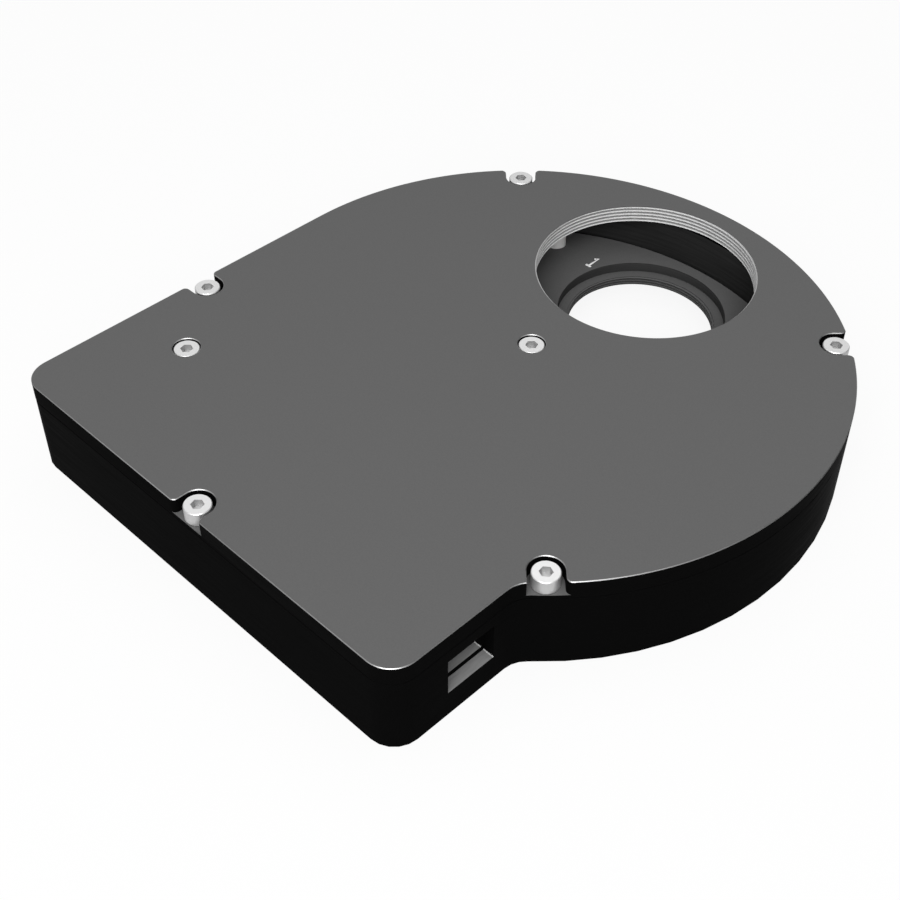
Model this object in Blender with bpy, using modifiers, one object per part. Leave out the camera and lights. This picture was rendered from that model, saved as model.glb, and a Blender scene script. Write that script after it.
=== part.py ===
"""A slim motorised optical filter wheel for five 1.25-inch filters.

Sizes are in metres. +Z is up. The origin is the wheel's axis where it meets the underside of the base.
The body is a milled base with a flat screwed cover. A five-pocket wheel turns between them on two ball bearings.
A flat motor drives the wheel's rim through a spur gear train and a rubber-tyred roller.
"""

import math

import bmesh
import bpy
from mathutils import Vector

# Housing
RIGHT_DISTANCE = 0.0367
CORNER_RADIUS = 0.0050
INNER_CORNER_RADIUS = 0.0010
WALL = 0.0044
FLOOR = 0.0036
COVER_THICKNESS = 0.0037
HEADROOM = 0.0007
EDGE_CHAMFER = 0.00015
SEAM_CHAMFER = 0.0001

# Ports: the crest of an M42 x 0.75 thread through the cover and through the base
PORT_RADIUS = 0.0206

# Fits
SEAT_GAP = 0.0001
RUNNING_GAP = 0.0003

# M2.5 socket head screws, and the open notches that hold the cover's five
SCREW_RADIUS = 0.00120
SCREW_HOLE_RADIUS = 0.00130
CLEARANCE_HOLE_RADIUS = 0.00145
HEAD_RADIUS = 0.00234
HEAD_HEIGHT = 0.0025
HEAD_CHAMFER = 0.00015
SOCKET_ACROSS_FLATS = 0.0020
SOCKET_DEPTH = 0.0013
SHANK_LENGTH = 0.0070
SCREW_INSET = 0.0025
HEAD_SINK = 0.00285
NOTCH_RADIUS = 0.0030
NOTCH_FLARE = 0.0010
HEAD_POCKET_RADIUS = 0.0025
ROUND_SCREW_ANGLES = (-45, 45, 135)
LEFT_SCREW_FROM_FRONT = 0.0388
FRONT_SCREW_FROM_RIGHT = 0.0468

# Wheel: an M28.5 x 0.6 thread in a shallow pocket for each filter
FILTER_COUNT = 5
FILTER_THREAD_RADIUS = 0.01425
POCKET_LEDGE = 0.00185
POCKET_DEPTH = 0.0020
POCKET_WEB = 0.00495
RIM_WIDTH = 0.00255
WHEEL_THICKNESS = 0.0039
WHEEL_LIFT = 0.0009
WHEEL_SIDE_GAP = 0.00175
MAGNET_RADIUS = 0.0020
MAGNET_EDGE = 0.0044
MAGNET_SINK = 0.0018
MAGNET_STAND = 0.0050

# Ball bearings, 8 x 16 x 4 mm
BEARING_BORE_RADIUS = 0.0040
BEARING_OUTER_RADIUS = 0.0080
BEARING_WIDTH = 0.0040
RING_THICKNESS = 0.0012
BALL_GROOVE_DEPTH = 0.0004
BALL_COUNT = 7
CAGE_RADIUS = 0.0004
HUB_WALL = 0.0025
HUB_LIP = 0.0006
CIRCLIP_THICKNESS = 0.0005
CIRCLIP_GRIP = 0.0005
HUB_RIM = 0.0004

# Axle and posts
AXLE_SPIGOT_RADIUS = 0.0030
SPIGOT_DEPTH = 0.0024
POST_TAP_DEPTH = 0.0080

# Drive: the roller on the wheel's rim, and the train of gears that turns it
TYRE_RADIUS = 0.0103
TYRE_SECTION_RADIUS = 0.0015
ROLLER_DIRECTION = -133.9
ROLLER_POST_RADIUS = 0.0025
ROLLER_SPIGOT_RADIUS = 0.0020
BUSH_WALL = 0.0010
ROLLER_NECK_RADIUS = 0.0050
ROLLER_SHOULDER = 0.0010
ROLLER_RECESS_GAP = 0.0006
GEAR_MODULE = 0.0005
GEAR_FACE = 0.0026
GEAR_HEADROOM = 0.0005
GEAR_ADDENDUM = 0.85
GEAR_DEDENDUM = 1.05
GEAR_BACKLASH = 0.00016
GEAR_CENTRE_SLACK = 0.00005
PRESSURE_ANGLE = math.radians(20)
ROLLER_TEETH = 36
IDLER_TEETH = 28
PINION_TEETH = 14
IDLER_DIRECTION = -20
PINION_DIRECTION = -40
IDLER_PIN_RADIUS = 0.0010
IDLER_BOSS_RADIUS = 0.0021

# Motor
MOTOR_RADIUS = 0.0080
MOTOR_HEIGHT = 0.0065
MOTOR_FLOOR = 0.0016
MOTOR_WALL_GAP = 0.00035
MOTOR_FLANGE_THICKNESS = 0.0008
MOTOR_SHAFT_RADIUS = 0.0010
EAR_DISTANCE = 0.0105
EAR_RADIUS = 0.0025
EAR_DIRECTION = 14
SMALL_SCREW_RADIUS = 0.0009
SMALL_HEAD_RADIUS = 0.0018
SMALL_HEAD_HEIGHT = 0.0012
SMALL_SHANK_LENGTH = 0.0032
SMALL_BOSS_RADIUS = 0.0024

# Control board
BOARD_STANDOFF = 0.0018
BOARD_THICKNESS = 0.0016
BOARD_CLEARANCE = 0.0006
BOARD_MOTOR_GAP = 0.00095
BOARD_WHEEL_GAP = 0.0013
SENSOR_FROM_EDGE = 0.0013

# Mini USB socket, and its stepped opening in the right wall
USB_FROM_FRONT = 0.0163
USB_RECESS_WIDTH = 0.0098
USB_RECESS_HEIGHT = 0.0073
USB_RECESS_DEPTH = 0.0021
USB_OPENING_WIDTH = 0.0086
USB_OPENING_HEIGHT = 0.0051
USB_SHELL_WIDTH = 0.0077
USB_SHELL_HEIGHT = 0.0039
USB_SHELL_LENGTH = 0.0092
USB_SHELL_WALL = 0.0004

# Parts on the board: each one's place from the board's left front corner, then width, length and height
CONTROLLER = ((0.0175, 0.0050), (0.0070, 0.0070, 0.0010))
DRIVER = ((0.0115, 0.0062), (0.0040, 0.0050, 0.0014))
CRYSTAL = ((0.0240, 0.0040), (0.0032, 0.0050, 0.0020))
HEADER = ((0.0020, 0.0054), (0.0030, 0.0050, 0.0040))
SENSOR_SIZE = (0.0041, 0.0015, 0.0052)

# The motor's two leads, from its side to the header
HEADER_PITCH = 0.0024
LEAD_RADIUS = 0.00045
LEAD_DIRECTION = -35
LEAD_SPREAD = 8

# Roundness: how far a facet may lie inside the round that it stands for
FACET_DEPTH = 0.00008
LEAST_FACETS = 12


def polar(radius, degrees):
    """A point on a circle round the origin."""
    angle = math.radians(degrees)
    return (radius * math.cos(angle), radius * math.sin(angle))


def moved(point, distance, degrees):
    """The point that lies this far from another, in a direction."""
    x, y = polar(distance, degrees)
    return (point[0] + x, point[1] + y)


# Wheel and ports, from the filters' size
POCKET_RADIUS = FILTER_THREAD_RADIUS + POCKET_LEDGE
FILTER_DISTANCE = (POCKET_RADIUS + POCKET_WEB / 2) / math.sin(math.pi / FILTER_COUNT)
PORT_CENTRE = (0.0, FILTER_DISTANCE)
WHEEL_RADIUS = FILTER_DISTANCE + POCKET_RADIUS + RIM_WIDTH
MAGNET_CIRCLE = WHEEL_RADIUS - MAGNET_EDGE

# Places of the drive, out from the wheel's rim
ROLLER_AXIS = polar(WHEEL_RADIUS + RUNNING_GAP + TYRE_RADIUS, ROLLER_DIRECTION)
ROLLER_TO_IDLER = GEAR_MODULE * (ROLLER_TEETH + IDLER_TEETH) / 2 + GEAR_CENTRE_SLACK
IDLER_TO_PINION = GEAR_MODULE * (IDLER_TEETH + PINION_TEETH) / 2 + GEAR_CENTRE_SLACK
IDLER_AXIS = moved(ROLLER_AXIS, ROLLER_TO_IDLER, IDLER_DIRECTION)
MOTOR_AXIS = moved(IDLER_AXIS, IDLER_TO_PINION, PINION_DIRECTION)
TYRE_RING_RADIUS = TYRE_RADIUS - TYRE_SECTION_RADIUS

# Housing, round the wheel and the motor
HOUSING_RADIUS = WHEEL_RADIUS + WHEEL_SIDE_GAP + WALL
FRONT_DISTANCE = MOTOR_RADIUS + MOTOR_WALL_GAP + WALL - MOTOR_AXIS[1]

# Heights, from the underside up
WHEEL_BOTTOM = FLOOR + WHEEL_LIFT
WHEEL_TOP = WHEEL_BOTTOM + WHEEL_THICKNESS
WHEEL_MIDDLE = (WHEEL_BOTTOM + WHEEL_TOP) / 2
LOWER_BEARING = WHEEL_BOTTOM + HUB_LIP + SEAT_GAP
UPPER_BEARING = LOWER_BEARING + BEARING_WIDTH + SEAT_GAP
CIRCLIP_LEVEL = UPPER_BEARING + BEARING_WIDTH + SEAT_GAP
HUB_TOP = CIRCLIP_LEVEL + CIRCLIP_THICKNESS + HUB_RIM
BASE_HEIGHT = HUB_TOP + HEADROOM
COVER_TOP = BASE_HEIGHT + COVER_THICKNESS
SCREW_SEAT = COVER_TOP - HEAD_SINK
MOTOR_TOP = MOTOR_FLOOR + SEAT_GAP + MOTOR_HEIGHT
MOTOR_FLANGE_TOP = MOTOR_TOP + SEAT_GAP + MOTOR_FLANGE_THICKNESS
GEAR_LEVEL = MOTOR_FLANGE_TOP + SEAT_GAP + SMALL_HEAD_HEIGHT + GEAR_HEADROOM
GEAR_TOP = GEAR_LEVEL + GEAR_FACE

# Bearings
PITCH_RADIUS = (BEARING_BORE_RADIUS + BEARING_OUTER_RADIUS) / 2
BALL_SPACE = (BEARING_OUTER_RADIUS - BEARING_BORE_RADIUS) / 2 - RING_THICKNESS
BALL_RADIUS = BALL_SPACE + BALL_GROOVE_DEPTH
HUB_RADIUS = BEARING_OUTER_RADIUS + HUB_WALL

# Board and USB socket
BOARD_UNDERSIDE = FLOOR + BOARD_STANDOFF
BOARD_TOP = BOARD_UNDERSIDE + BOARD_THICKNESS
BOARD_FRONT = BOARD_CLEARANCE + WALL - FRONT_DISTANCE
BOARD_RIGHT = RIGHT_DISTANCE - WALL - BOARD_CLEARANCE
BOARD_LEFT = moved(MOTOR_AXIS, EAR_DISTANCE, EAR_DIRECTION)[0] + EAR_RADIUS + BOARD_MOTOR_GAP
BOARD_HOLLOW = WHEEL_RADIUS + BOARD_WHEEL_GAP
USB_Y = USB_FROM_FRONT - FRONT_DISTANCE
USB_Z = BOARD_TOP + SEAT_GAP + USB_SHELL_HEIGHT / 2
BOARD_BACK = USB_Y + USB_SHELL_WIDTH / 2 + SMALL_BOSS_RADIUS


def new_collection(name):
    collection = bpy.data.collections.new(name)
    bpy.context.scene.collection.children.link(collection)
    return collection


def material(name, colour, roughness, metallic):
    made = bpy.data.materials.new(name)
    made.use_nodes = True
    shader = made.node_tree.nodes["Principled BSDF"]
    shader.inputs["Base Color"].default_value = (*colour, 1.0)
    shader.inputs["Roughness"].default_value = roughness
    shader.inputs["Metallic"].default_value = metallic
    return made


def facet_step(radius):
    """The angle in degrees that one facet of a round takes."""
    return 2 * math.degrees(math.acos(1 - min(1.0, FACET_DEPTH / radius)))


def facets_round(radius):
    """How many facets a full round takes, in fours."""
    return max(LEAST_FACETS, 4 * math.ceil(90 / facet_step(radius)))


def arc(centre, radius, start, end):
    """Points along an arc, from one angle to another in degrees, both ends included."""
    count = max(2, math.ceil(abs(end - start) / facet_step(radius)))
    return [
        moved(centre, radius, start + (end - start) * i / count)
        for i in range(count + 1)
    ]


def circle(centre, radius):
    """Points round a circle."""
    count = facets_round(radius)
    return [moved(centre, radius, 360 * i / count) for i in range(count)]


def place(obj, collection, surface=None, carrier=None):
    """Files an object in its collection, gives it its material and hangs it on the empty that carries it."""
    for owner in list(obj.users_collection):
        owner.objects.unlink(obj)
    collection.objects.link(obj)
    if surface is not None:
        obj.data.materials.clear()
        obj.data.materials.append(surface)
    if carrier is not None:
        obj.parent = carrier
        obj.location = obj.location - carrier.location
    return obj


def smooth(mesh):
    """Rounds the shading, except across edges sharper than 35 degrees."""
    mesh.shade_smooth()
    mesh.set_sharp_from_angle(angle=math.radians(35))


def plate(name, outline, bottom, top, holes=(), at=(0.0, 0.0), top_chamfer=0.0, bottom_chamfer=0.0):
    """A flat plate from a closed outline with holes in it, in points round the place that it stands on."""
    curve = bpy.data.curves.new(name, "CURVE")
    curve.dimensions = "2D"
    curve.fill_mode = "BOTH"
    curve.extrude = (top - bottom) / 2
    for points in (outline, *holes):
        spline = curve.splines.new("POLY")
        spline.points.add(len(points) - 1)
        for spot, (x, y) in zip(spline.points, points):
            spot.co = (x, y, 0.0, 1.0)
        spline.use_cyclic_u = True
    drawn = bpy.data.objects.new(name, curve)
    bpy.context.scene.collection.objects.link(drawn)
    bpy.context.view_layer.update()
    graph = bpy.context.evaluated_depsgraph_get()
    mesh = bpy.data.meshes.new_from_object(drawn.evaluated_get(graph))
    bpy.data.objects.remove(drawn)
    mesh.name = name
    shape = bmesh.new()
    shape.from_mesh(mesh)
    bmesh.ops.remove_doubles(shape, verts=shape.verts, dist=1e-6)
    bmesh.ops.dissolve_limit(
        shape, angle_limit=math.radians(0.5), verts=shape.verts, edges=shape.edges
    )
    bmesh.ops.recalc_face_normals(shape, faces=shape.faces)
    chamfer_rim(shape, (top - bottom) / 2, top_chamfer)
    chamfer_rim(shape, (bottom - top) / 2, bottom_chamfer)
    shape.to_mesh(mesh)
    shape.free()
    smooth(mesh)
    solid = bpy.data.objects.new(name, mesh)
    solid.location = (at[0], at[1], (bottom + top) / 2)
    return solid


def chamfer_rim(shape, level, width):
    """Chamfers the edges at one level of a plate, where its flat side meets its upright sides."""
    if not width:
        return
    rim = [
        edge
        for edge in shape.edges
        if all(abs(vert.co.z - level) < 1e-6 for vert in edge.verts)
        and edge.calc_face_angle(0.0) > 1.0
    ]
    bmesh.ops.bevel(shape, geom=rim, offset=width, segments=1, affect="EDGES")


def turned(name, profile, at=(0.0, 0.0), ring=True):
    """A turned piece. Its profile is in radius and height, down the outer side first; a ring's profile closes."""
    mesh = bpy.data.meshes.new(name)
    edges = [(i, i + 1) for i in range(len(profile) - 1)]
    if ring:
        edges.append((len(profile) - 1, 0))
    mesh.from_pydata([(r, 0.0, z) for r, z in profile], edges, [])
    piece = bpy.data.objects.new(name, mesh)
    piece.location = (at[0], at[1], 0.0)
    screw = piece.modifiers.new("turn", "SCREW")
    screw.steps = screw.render_steps = facets_round(max(r for r, _ in profile))
    screw.use_merge_vertices = True
    screw.merge_threshold = 1e-6
    screw.use_smooth_shade = False
    return piece


def tube_profile(inner, outer, bottom, top):
    return [(outer, top), (outer, bottom), (inner, bottom), (inner, top)]


def rod_profile(radius, bottom, top):
    return [(0.0, top), (radius, top), (radius, bottom), (0.0, bottom)]


def rod(name, radius, bottom, top, at):
    return turned(name, rod_profile(radius, bottom, top), at, ring=False)


def mouthed_hole(name, radius, end, mouth, at):
    """A cutter for a round hole from its end to its mouth, up or down, with a chamfer round the mouth."""
    out = math.copysign(EDGE_CHAMFER, mouth - end)
    profile = [
        (0.0, mouth + out),
        (radius + 2 * EDGE_CHAMFER, mouth + out),
        (radius, mouth - out),
        (radius, end),
        (0.0, end),
    ]
    return turned(name, profile if mouth > end else profile[::-1], at, ring=False)


def block(name, low, high):
    """A box between two corners."""
    bpy.ops.mesh.primitive_cube_add(
        size=1.0, location=[(a + b) / 2 for a, b in zip(low, high)]
    )
    made = bpy.context.object
    made.name = made.data.name = name
    made.scale = [b - a for a, b in zip(low, high)]
    made.data.transform(made.matrix_basis.to_3x3().to_4x4())
    made.scale = (1.0, 1.0, 1.0)
    return made


def boolean(target, other, operation):
    """Cuts or joins another solid, which then stays as a hidden helper."""
    place(other, HELPERS)
    other.hide_render = True
    other.display_type = "WIRE"
    step = target.modifiers.new(other.name, "BOOLEAN")
    step.operation = operation
    step.object = other


def cut(target, other):
    boolean(target, other, "DIFFERENCE")


def join(target, other):
    boolean(target, other, "UNION")


def housing_outline(inset=0.0):
    """The housing's plan: a round end that runs into a box, with a fillet where the right side meets the round."""
    radius = HOUSING_RADIUS - inset
    right = RIGHT_DISTANCE - inset
    front = inset - FRONT_DISTANCE
    corner = max(CORNER_RADIUS - inset, INNER_CORNER_RADIUS)
    fillet = CORNER_RADIUS + inset
    fillet_x = right + fillet
    fillet_y = -math.sqrt((radius + fillet) ** 2 - fillet_x**2)
    meeting = math.degrees(math.atan2(fillet_y, fillet_x))
    outline = arc((corner - radius, front + corner), corner, 180, 270)
    outline += arc((right - corner, front + corner), corner, 270, 360)
    outline += arc((fillet_x, fillet_y), fillet, 180, meeting + 180)
    outline += arc((0.0, 0.0), radius, meeting, 180)[1:]
    return outline


def cover_screw_places():
    """Each cover screw's place and the direction of the edge that its notch opens to."""
    places = [
        (polar(HOUSING_RADIUS - SCREW_INSET, angle), angle)
        for angle in ROUND_SCREW_ANGLES
    ]
    left = (SCREW_INSET - HOUSING_RADIUS, LEFT_SCREW_FROM_FRONT - FRONT_DISTANCE)
    front = (RIGHT_DISTANCE - FRONT_SCREW_FROM_RIGHT, SCREW_INSET - FRONT_DISTANCE)
    return [*places, (left, 180), (front, 270)]


def notch_outline(edge, flare_right):
    """A notch's outline, along X of its edge and out along Y, round its screw. Its mouth flares to the edge."""
    outside = edge + NOTCH_RADIUS
    wide = NOTCH_RADIUS + NOTCH_FLARE
    points = arc((0.0, 0.0), NOTCH_RADIUS, 180, 360)
    left = [
        moved((-wide, edge - NOTCH_FLARE), NOTCH_FLARE, turn)
        for turn in (90, 60, 30, 0)
    ]
    right = [(-x, y) for x, y in reversed(left)]
    if not flare_right:
        right = [(NOTCH_RADIUS, edge)]
    points += [*right, (right[-1][0], outside), (-wide, outside), *left]
    return points


def turn_points(points, degrees, centre):
    """Points that are drawn with +Y outwards, turned so that outwards is a direction, and moved to a place."""
    angle = math.radians(degrees - 90)
    cos, sin = math.cos(angle), math.sin(angle)
    return [
        (centre[0] + x * cos - y * sin, centre[1] + x * sin + y * cos)
        for x, y in points
    ]


def filter_angles():
    return [90 + 360 * i / FILTER_COUNT for i in range(FILTER_COUNT)]


def make_base():
    """The milled base: floor, walls, port, bosses, and the stepped USB opening in its right side."""
    base = plate(
        "base_housing",
        housing_outline(),
        0.0,
        BASE_HEIGHT,
        top_chamfer=SEAM_CHAMFER,
        bottom_chamfer=EDGE_CHAMFER,
    )
    place(base, PARTS, BLACK_ANODISED)
    cut(base, plate("base_cavity", housing_outline(WALL), FLOOR, BASE_HEIGHT + WALL))
    port = mouthed_hole("base_port", PORT_RADIUS, 2 * FLOOR, 0.0, PORT_CENTRE)
    cut(base, port)
    gear_tip = GEAR_MODULE * (ROLLER_TEETH / 2 + GEAR_ADDENDUM)
    roller_recess = max(TYRE_RADIUS, gear_tip) + ROLLER_RECESS_GAP
    cut(base, rod("roller_recess", roller_recess, FLOOR, COVER_TOP, ROLLER_AXIS))
    join(base, rod("idler_boss", IDLER_BOSS_RADIUS, FLOOR / 2, idler_boss_top(), IDLER_AXIS))
    for number, ear in enumerate(motor_ears(), 1):
        boss = rod(f"motor_boss_{number}", SMALL_BOSS_RADIUS, FLOOR / 2, ear_seat(), ear)
        join(base, boss)
    for number, spot in enumerate(board_screw_places(), 1):
        top = BOARD_UNDERSIDE - SEAT_GAP
        join(base, rod(f"board_boss_{number}", SMALL_BOSS_RADIUS, FLOOR / 2, top, spot))
    motor_pocket_radius = MOTOR_RADIUS + RUNNING_GAP
    cut(base, rod("motor_pocket", motor_pocket_radius, MOTOR_FLOOR, ear_seat(), MOTOR_AXIS))
    for number, (spot, _) in enumerate(cover_screw_places(), 1):
        bottom = SCREW_SEAT - SHANK_LENGTH - HEAD_HEIGHT / 2
        cut(base, rod(f"tapped_hole_{number}", SCREW_HOLE_RADIUS, bottom, COVER_TOP, spot))
    spigots = (
        ("axle_seat", AXLE_SPIGOT_RADIUS, (0.0, 0.0)),
        ("roller_post_seat", ROLLER_SPIGOT_RADIUS, ROLLER_AXIS),
    )
    for name, radius, spot in spigots:
        bottom = FLOOR - SPIGOT_DEPTH
        cut(base, rod(name, radius + SEAT_GAP, bottom, 2 * FLOOR, spot))
    cut(base, rod("idler_pin_hole", IDLER_PIN_RADIUS + SEAT_GAP, FLOOR, GEAR_LEVEL, IDLER_AXIS))
    for number, spot in enumerate([*motor_ears(), *board_screw_places()], 1):
        radius = SMALL_SCREW_RADIUS + SEAT_GAP
        cut(base, rod(f"small_tapped_hole_{number}", radius, FLOOR / 2, GEAR_LEVEL, spot))
    outside = RIGHT_DISTANCE + WALL
    recess = RIGHT_DISTANCE - USB_RECESS_DEPTH
    inside = RIGHT_DISTANCE - 2 * WALL
    cut(base, usb_block("usb_recess", recess, outside, USB_RECESS_WIDTH, USB_RECESS_HEIGHT))
    cut(base, usb_block("usb_opening", inside, outside, USB_OPENING_WIDTH, USB_OPENING_HEIGHT))


def usb_block(name, left, right, width, height):
    """A box centred on the USB socket, from one X to another."""
    low = (left, USB_Y - width / 2, USB_Z - height / 2)
    high = (right, USB_Y + width / 2, USB_Z + height / 2)
    return block(name, low, high)


def make_cover():
    """The flat cover: its port, five open notches, and two sunk holes for the screws into the axle and the post."""
    cover = plate(
        "top_cover",
        housing_outline(),
        BASE_HEIGHT + SEAT_GAP,
        COVER_TOP,
        top_chamfer=EDGE_CHAMFER,
        bottom_chamfer=SEAM_CHAMFER,
    )
    place(cover, PARTS, GREY_ANODISED)
    below, above = BASE_HEIGHT - HEAD_SINK, COVER_TOP + HEAD_SINK
    cut(cover, mouthed_hole("cover_port", PORT_RADIUS, below, COVER_TOP, PORT_CENTRE))
    for number, (spot, outward) in enumerate(cover_screw_places(), 1):
        straight = outward in (180, 270)
        reach = NOTCH_RADIUS + NOTCH_FLARE
        drop = 0.0 if straight else HOUSING_RADIUS - math.sqrt(HOUSING_RADIUS**2 - reach**2)
        beside_fillet = outward == ROUND_SCREW_ANGLES[0]
        points = notch_outline(SCREW_INSET - drop, flare_right=not beside_fillet)
        notch = plate(f"notch_{number}", turn_points(points, outward, spot), SCREW_SEAT, above)
        cut(cover, notch)
        cut(cover, rod(f"cover_hole_{number}", CLEARANCE_HOLE_RADIUS, below, above, spot))
    for name, spot in (("axle", (0.0, 0.0)), ("post", ROLLER_AXIS)):
        cut(cover, rod(f"{name}_screw_hole", CLEARANCE_HOLE_RADIUS, below, above, spot))
        cut(cover, mouthed_hole(f"{name}_head_pocket", HEAD_POCKET_RADIUS, SCREW_SEAT, COVER_TOP, spot))


def make_screw(name, spot, turn):
    """An M2.5 socket head screw that stands in the cover, its hexagon turned by an angle."""
    under = SCREW_SEAT + SEAT_GAP
    top = under + HEAD_HEIGHT
    profile = [
        (0.0, top),
        (HEAD_RADIUS - HEAD_CHAMFER, top),
        (HEAD_RADIUS, top - HEAD_CHAMFER),
        (HEAD_RADIUS, under),
        (SCREW_RADIUS, under),
        (SCREW_RADIUS, under - SHANK_LENGTH),
        (0.0, under - SHANK_LENGTH),
    ]
    screw = turned(name, profile, spot, ring=False)
    place(screw, PARTS, STEEL)
    corner = SOCKET_ACROSS_FLATS / math.sqrt(3)
    hexagon = [polar(corner, turn + 60 * i) for i in range(6)]
    socket = plate(f"{name}_socket", hexagon, top - SOCKET_DEPTH, top + SOCKET_DEPTH, at=spot)
    cut(screw, socket)


def make_cover_screws():
    for number, (spot, outward) in enumerate(cover_screw_places(), 1):
        make_screw(f"cover_screw_{number}", spot, outward)
    make_screw("axle_screw", (0.0, 0.0), 12)
    make_screw("post_screw", ROLLER_AXIS, 0)


def hub_bore_profile():
    """The hub's bore: a lip under the lower bearing, the bearings' seat, and the groove of the circlip."""
    seat = BEARING_OUTER_RADIUS + SEAT_GAP
    groove = BEARING_OUTER_RADIUS + CIRCLIP_GRIP + SEAT_GAP
    lip = BEARING_OUTER_RADIUS - RING_THICKNESS / 2
    groove_top = CIRCLIP_LEVEL + CIRCLIP_THICKNESS + SEAT_GAP
    groove_bottom = CIRCLIP_LEVEL - SEAT_GAP / 2
    lip_top = WHEEL_BOTTOM + HUB_LIP
    above, below = HUB_TOP + HUB_RIM, WHEEL_BOTTOM - HUB_LIP
    return [
        (0.0, above),
        (seat, above),
        (seat, groove_top),
        (groove, groove_top),
        (groove, groove_bottom),
        (seat, groove_bottom),
        (seat, lip_top),
        (lip, lip_top),
        (lip, below),
        (0.0, below),
    ]


def make_wheel(carrier):
    """The wheel: a disc with a raised hub, and a threaded hole in a shallow pocket for each filter."""
    rim = circle((0.0, 0.0), WHEEL_RADIUS)
    chamfers = {"top_chamfer": EDGE_CHAMFER, "bottom_chamfer": EDGE_CHAMFER}
    wheel = plate("filter_wheel", rim, WHEEL_BOTTOM, WHEEL_TOP, **chamfers)
    place(wheel, PARTS, WHEEL_ANODISED, carrier)
    join(wheel, rod("wheel_hub", HUB_RADIUS, WHEEL_MIDDLE, HUB_TOP, (0.0, 0.0)))
    cut(wheel, turned("hub_bore", hub_bore_profile(), ring=False))
    for number, angle in enumerate(filter_angles(), 1):
        spot = polar(FILTER_DISTANCE, angle)
        floor = WHEEL_TOP - POCKET_DEPTH
        above = WHEEL_TOP + POCKET_DEPTH
        stepped = [
            (0.0, above),
            (POCKET_RADIUS, above),
            (POCKET_RADIUS, floor),
            (FILTER_THREAD_RADIUS, floor),
            (FILTER_THREAD_RADIUS, WHEEL_BOTTOM - POCKET_DEPTH),
            (0.0, WHEEL_BOTTOM - POCKET_DEPTH),
        ]
        cut(wheel, turned(f"filter_pocket_{number}", stepped, spot, ring=False))
    for number, spot in enumerate(magnet_places(), 1):
        hole = rod(
            f"magnet_hole_{number}", MAGNET_RADIUS + SEAT_GAP, magnet_floor(), HUB_TOP, spot
        )
        cut(wheel, hole)


def magnet_floor():
    return WHEEL_TOP - MAGNET_SINK


def magnet_places():
    """One magnet between each two filters, so that one always faces the sensor at the front."""
    half_step = 180 / FILTER_COUNT
    return [polar(MAGNET_CIRCLE, angle + half_step) for angle in filter_angles()]


def make_magnets(carrier):
    for number, spot in enumerate(magnet_places(), 1):
        top = WHEEL_TOP + MAGNET_STAND
        bottom = magnet_floor() + SEAT_GAP
        chamfered = [
            (0.0, top),
            (MAGNET_RADIUS - HEAD_CHAMFER, top),
            (MAGNET_RADIUS, top - HEAD_CHAMFER),
            (MAGNET_RADIUS, bottom),
            (0.0, bottom),
        ]
        magnet = turned(f"index_magnet_{number}", chamfered, spot, ring=False)
        place(magnet, PARTS, NICKEL, carrier)


def race_groove(centre_radius, centre_height, side):
    """The ball groove's points in a ring's profile, from top to bottom on the outer side or back on the inner one."""
    reach = BALL_RADIUS + SEAT_GAP
    half = math.degrees(math.acos(reach_to_ring() / reach))
    points = []
    for i in range(4):
        angle = math.radians(half - 2 * half * i / 3)
        points.append(
            (
                centre_radius + side * reach * math.cos(angle),
                centre_height + reach * math.sin(angle),
            )
        )
    return points


def reach_to_ring():
    """How far a ring's plain face lies from the circle of the balls' centres."""
    return BALL_SPACE + SEAT_GAP


def make_bearing(name, level, wheel_carrier, cage_carrier):
    """A ball bearing: a fixed inner ring, an outer ring that turns with the wheel, and its caged balls between."""
    middle, top = level + BEARING_WIDTH / 2, level + BEARING_WIDTH
    inner_face = PITCH_RADIUS - reach_to_ring()
    outer_face = PITCH_RADIUS + reach_to_ring()
    inner = [(inner_face, top), *race_groove(PITCH_RADIUS, middle, -1), (inner_face, level)]
    inner += [(BEARING_BORE_RADIUS, level), (BEARING_BORE_RADIUS, top)]
    place(turned(f"{name}_inner_ring", inner), PARTS, STEEL)
    groove = race_groove(PITCH_RADIUS, middle, 1)
    outer = [(BEARING_OUTER_RADIUS, top), (BEARING_OUTER_RADIUS, level), (outer_face, level)]
    outer += [*reversed(groove), (outer_face, top)]
    outer_ring = turned(f"{name}_outer_ring", outer)
    place(outer_ring, PARTS, STEEL, wheel_carrier)
    bpy.ops.mesh.primitive_torus_add(
        location=(0.0, 0.0, middle),
        major_radius=PITCH_RADIUS,
        minor_radius=CAGE_RADIUS,
        major_segments=facets_round(PITCH_RADIUS),
        minor_segments=4,
    )
    cage = bpy.context.object
    cage.name = cage.data.name = f"{name}_caged_balls"
    place(cage, PARTS, STEEL, cage_carrier)
    for number in range(BALL_COUNT):
        x, y = polar(PITCH_RADIUS, 360 * number / BALL_COUNT)
        bpy.ops.mesh.primitive_uv_sphere_add(
            segments=8, ring_count=5, radius=BALL_RADIUS, location=(x, y, middle)
        )
        ball = bpy.context.object
        ball.name = f"{name}_ball_{number + 1}"
        join(cage, ball)


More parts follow.
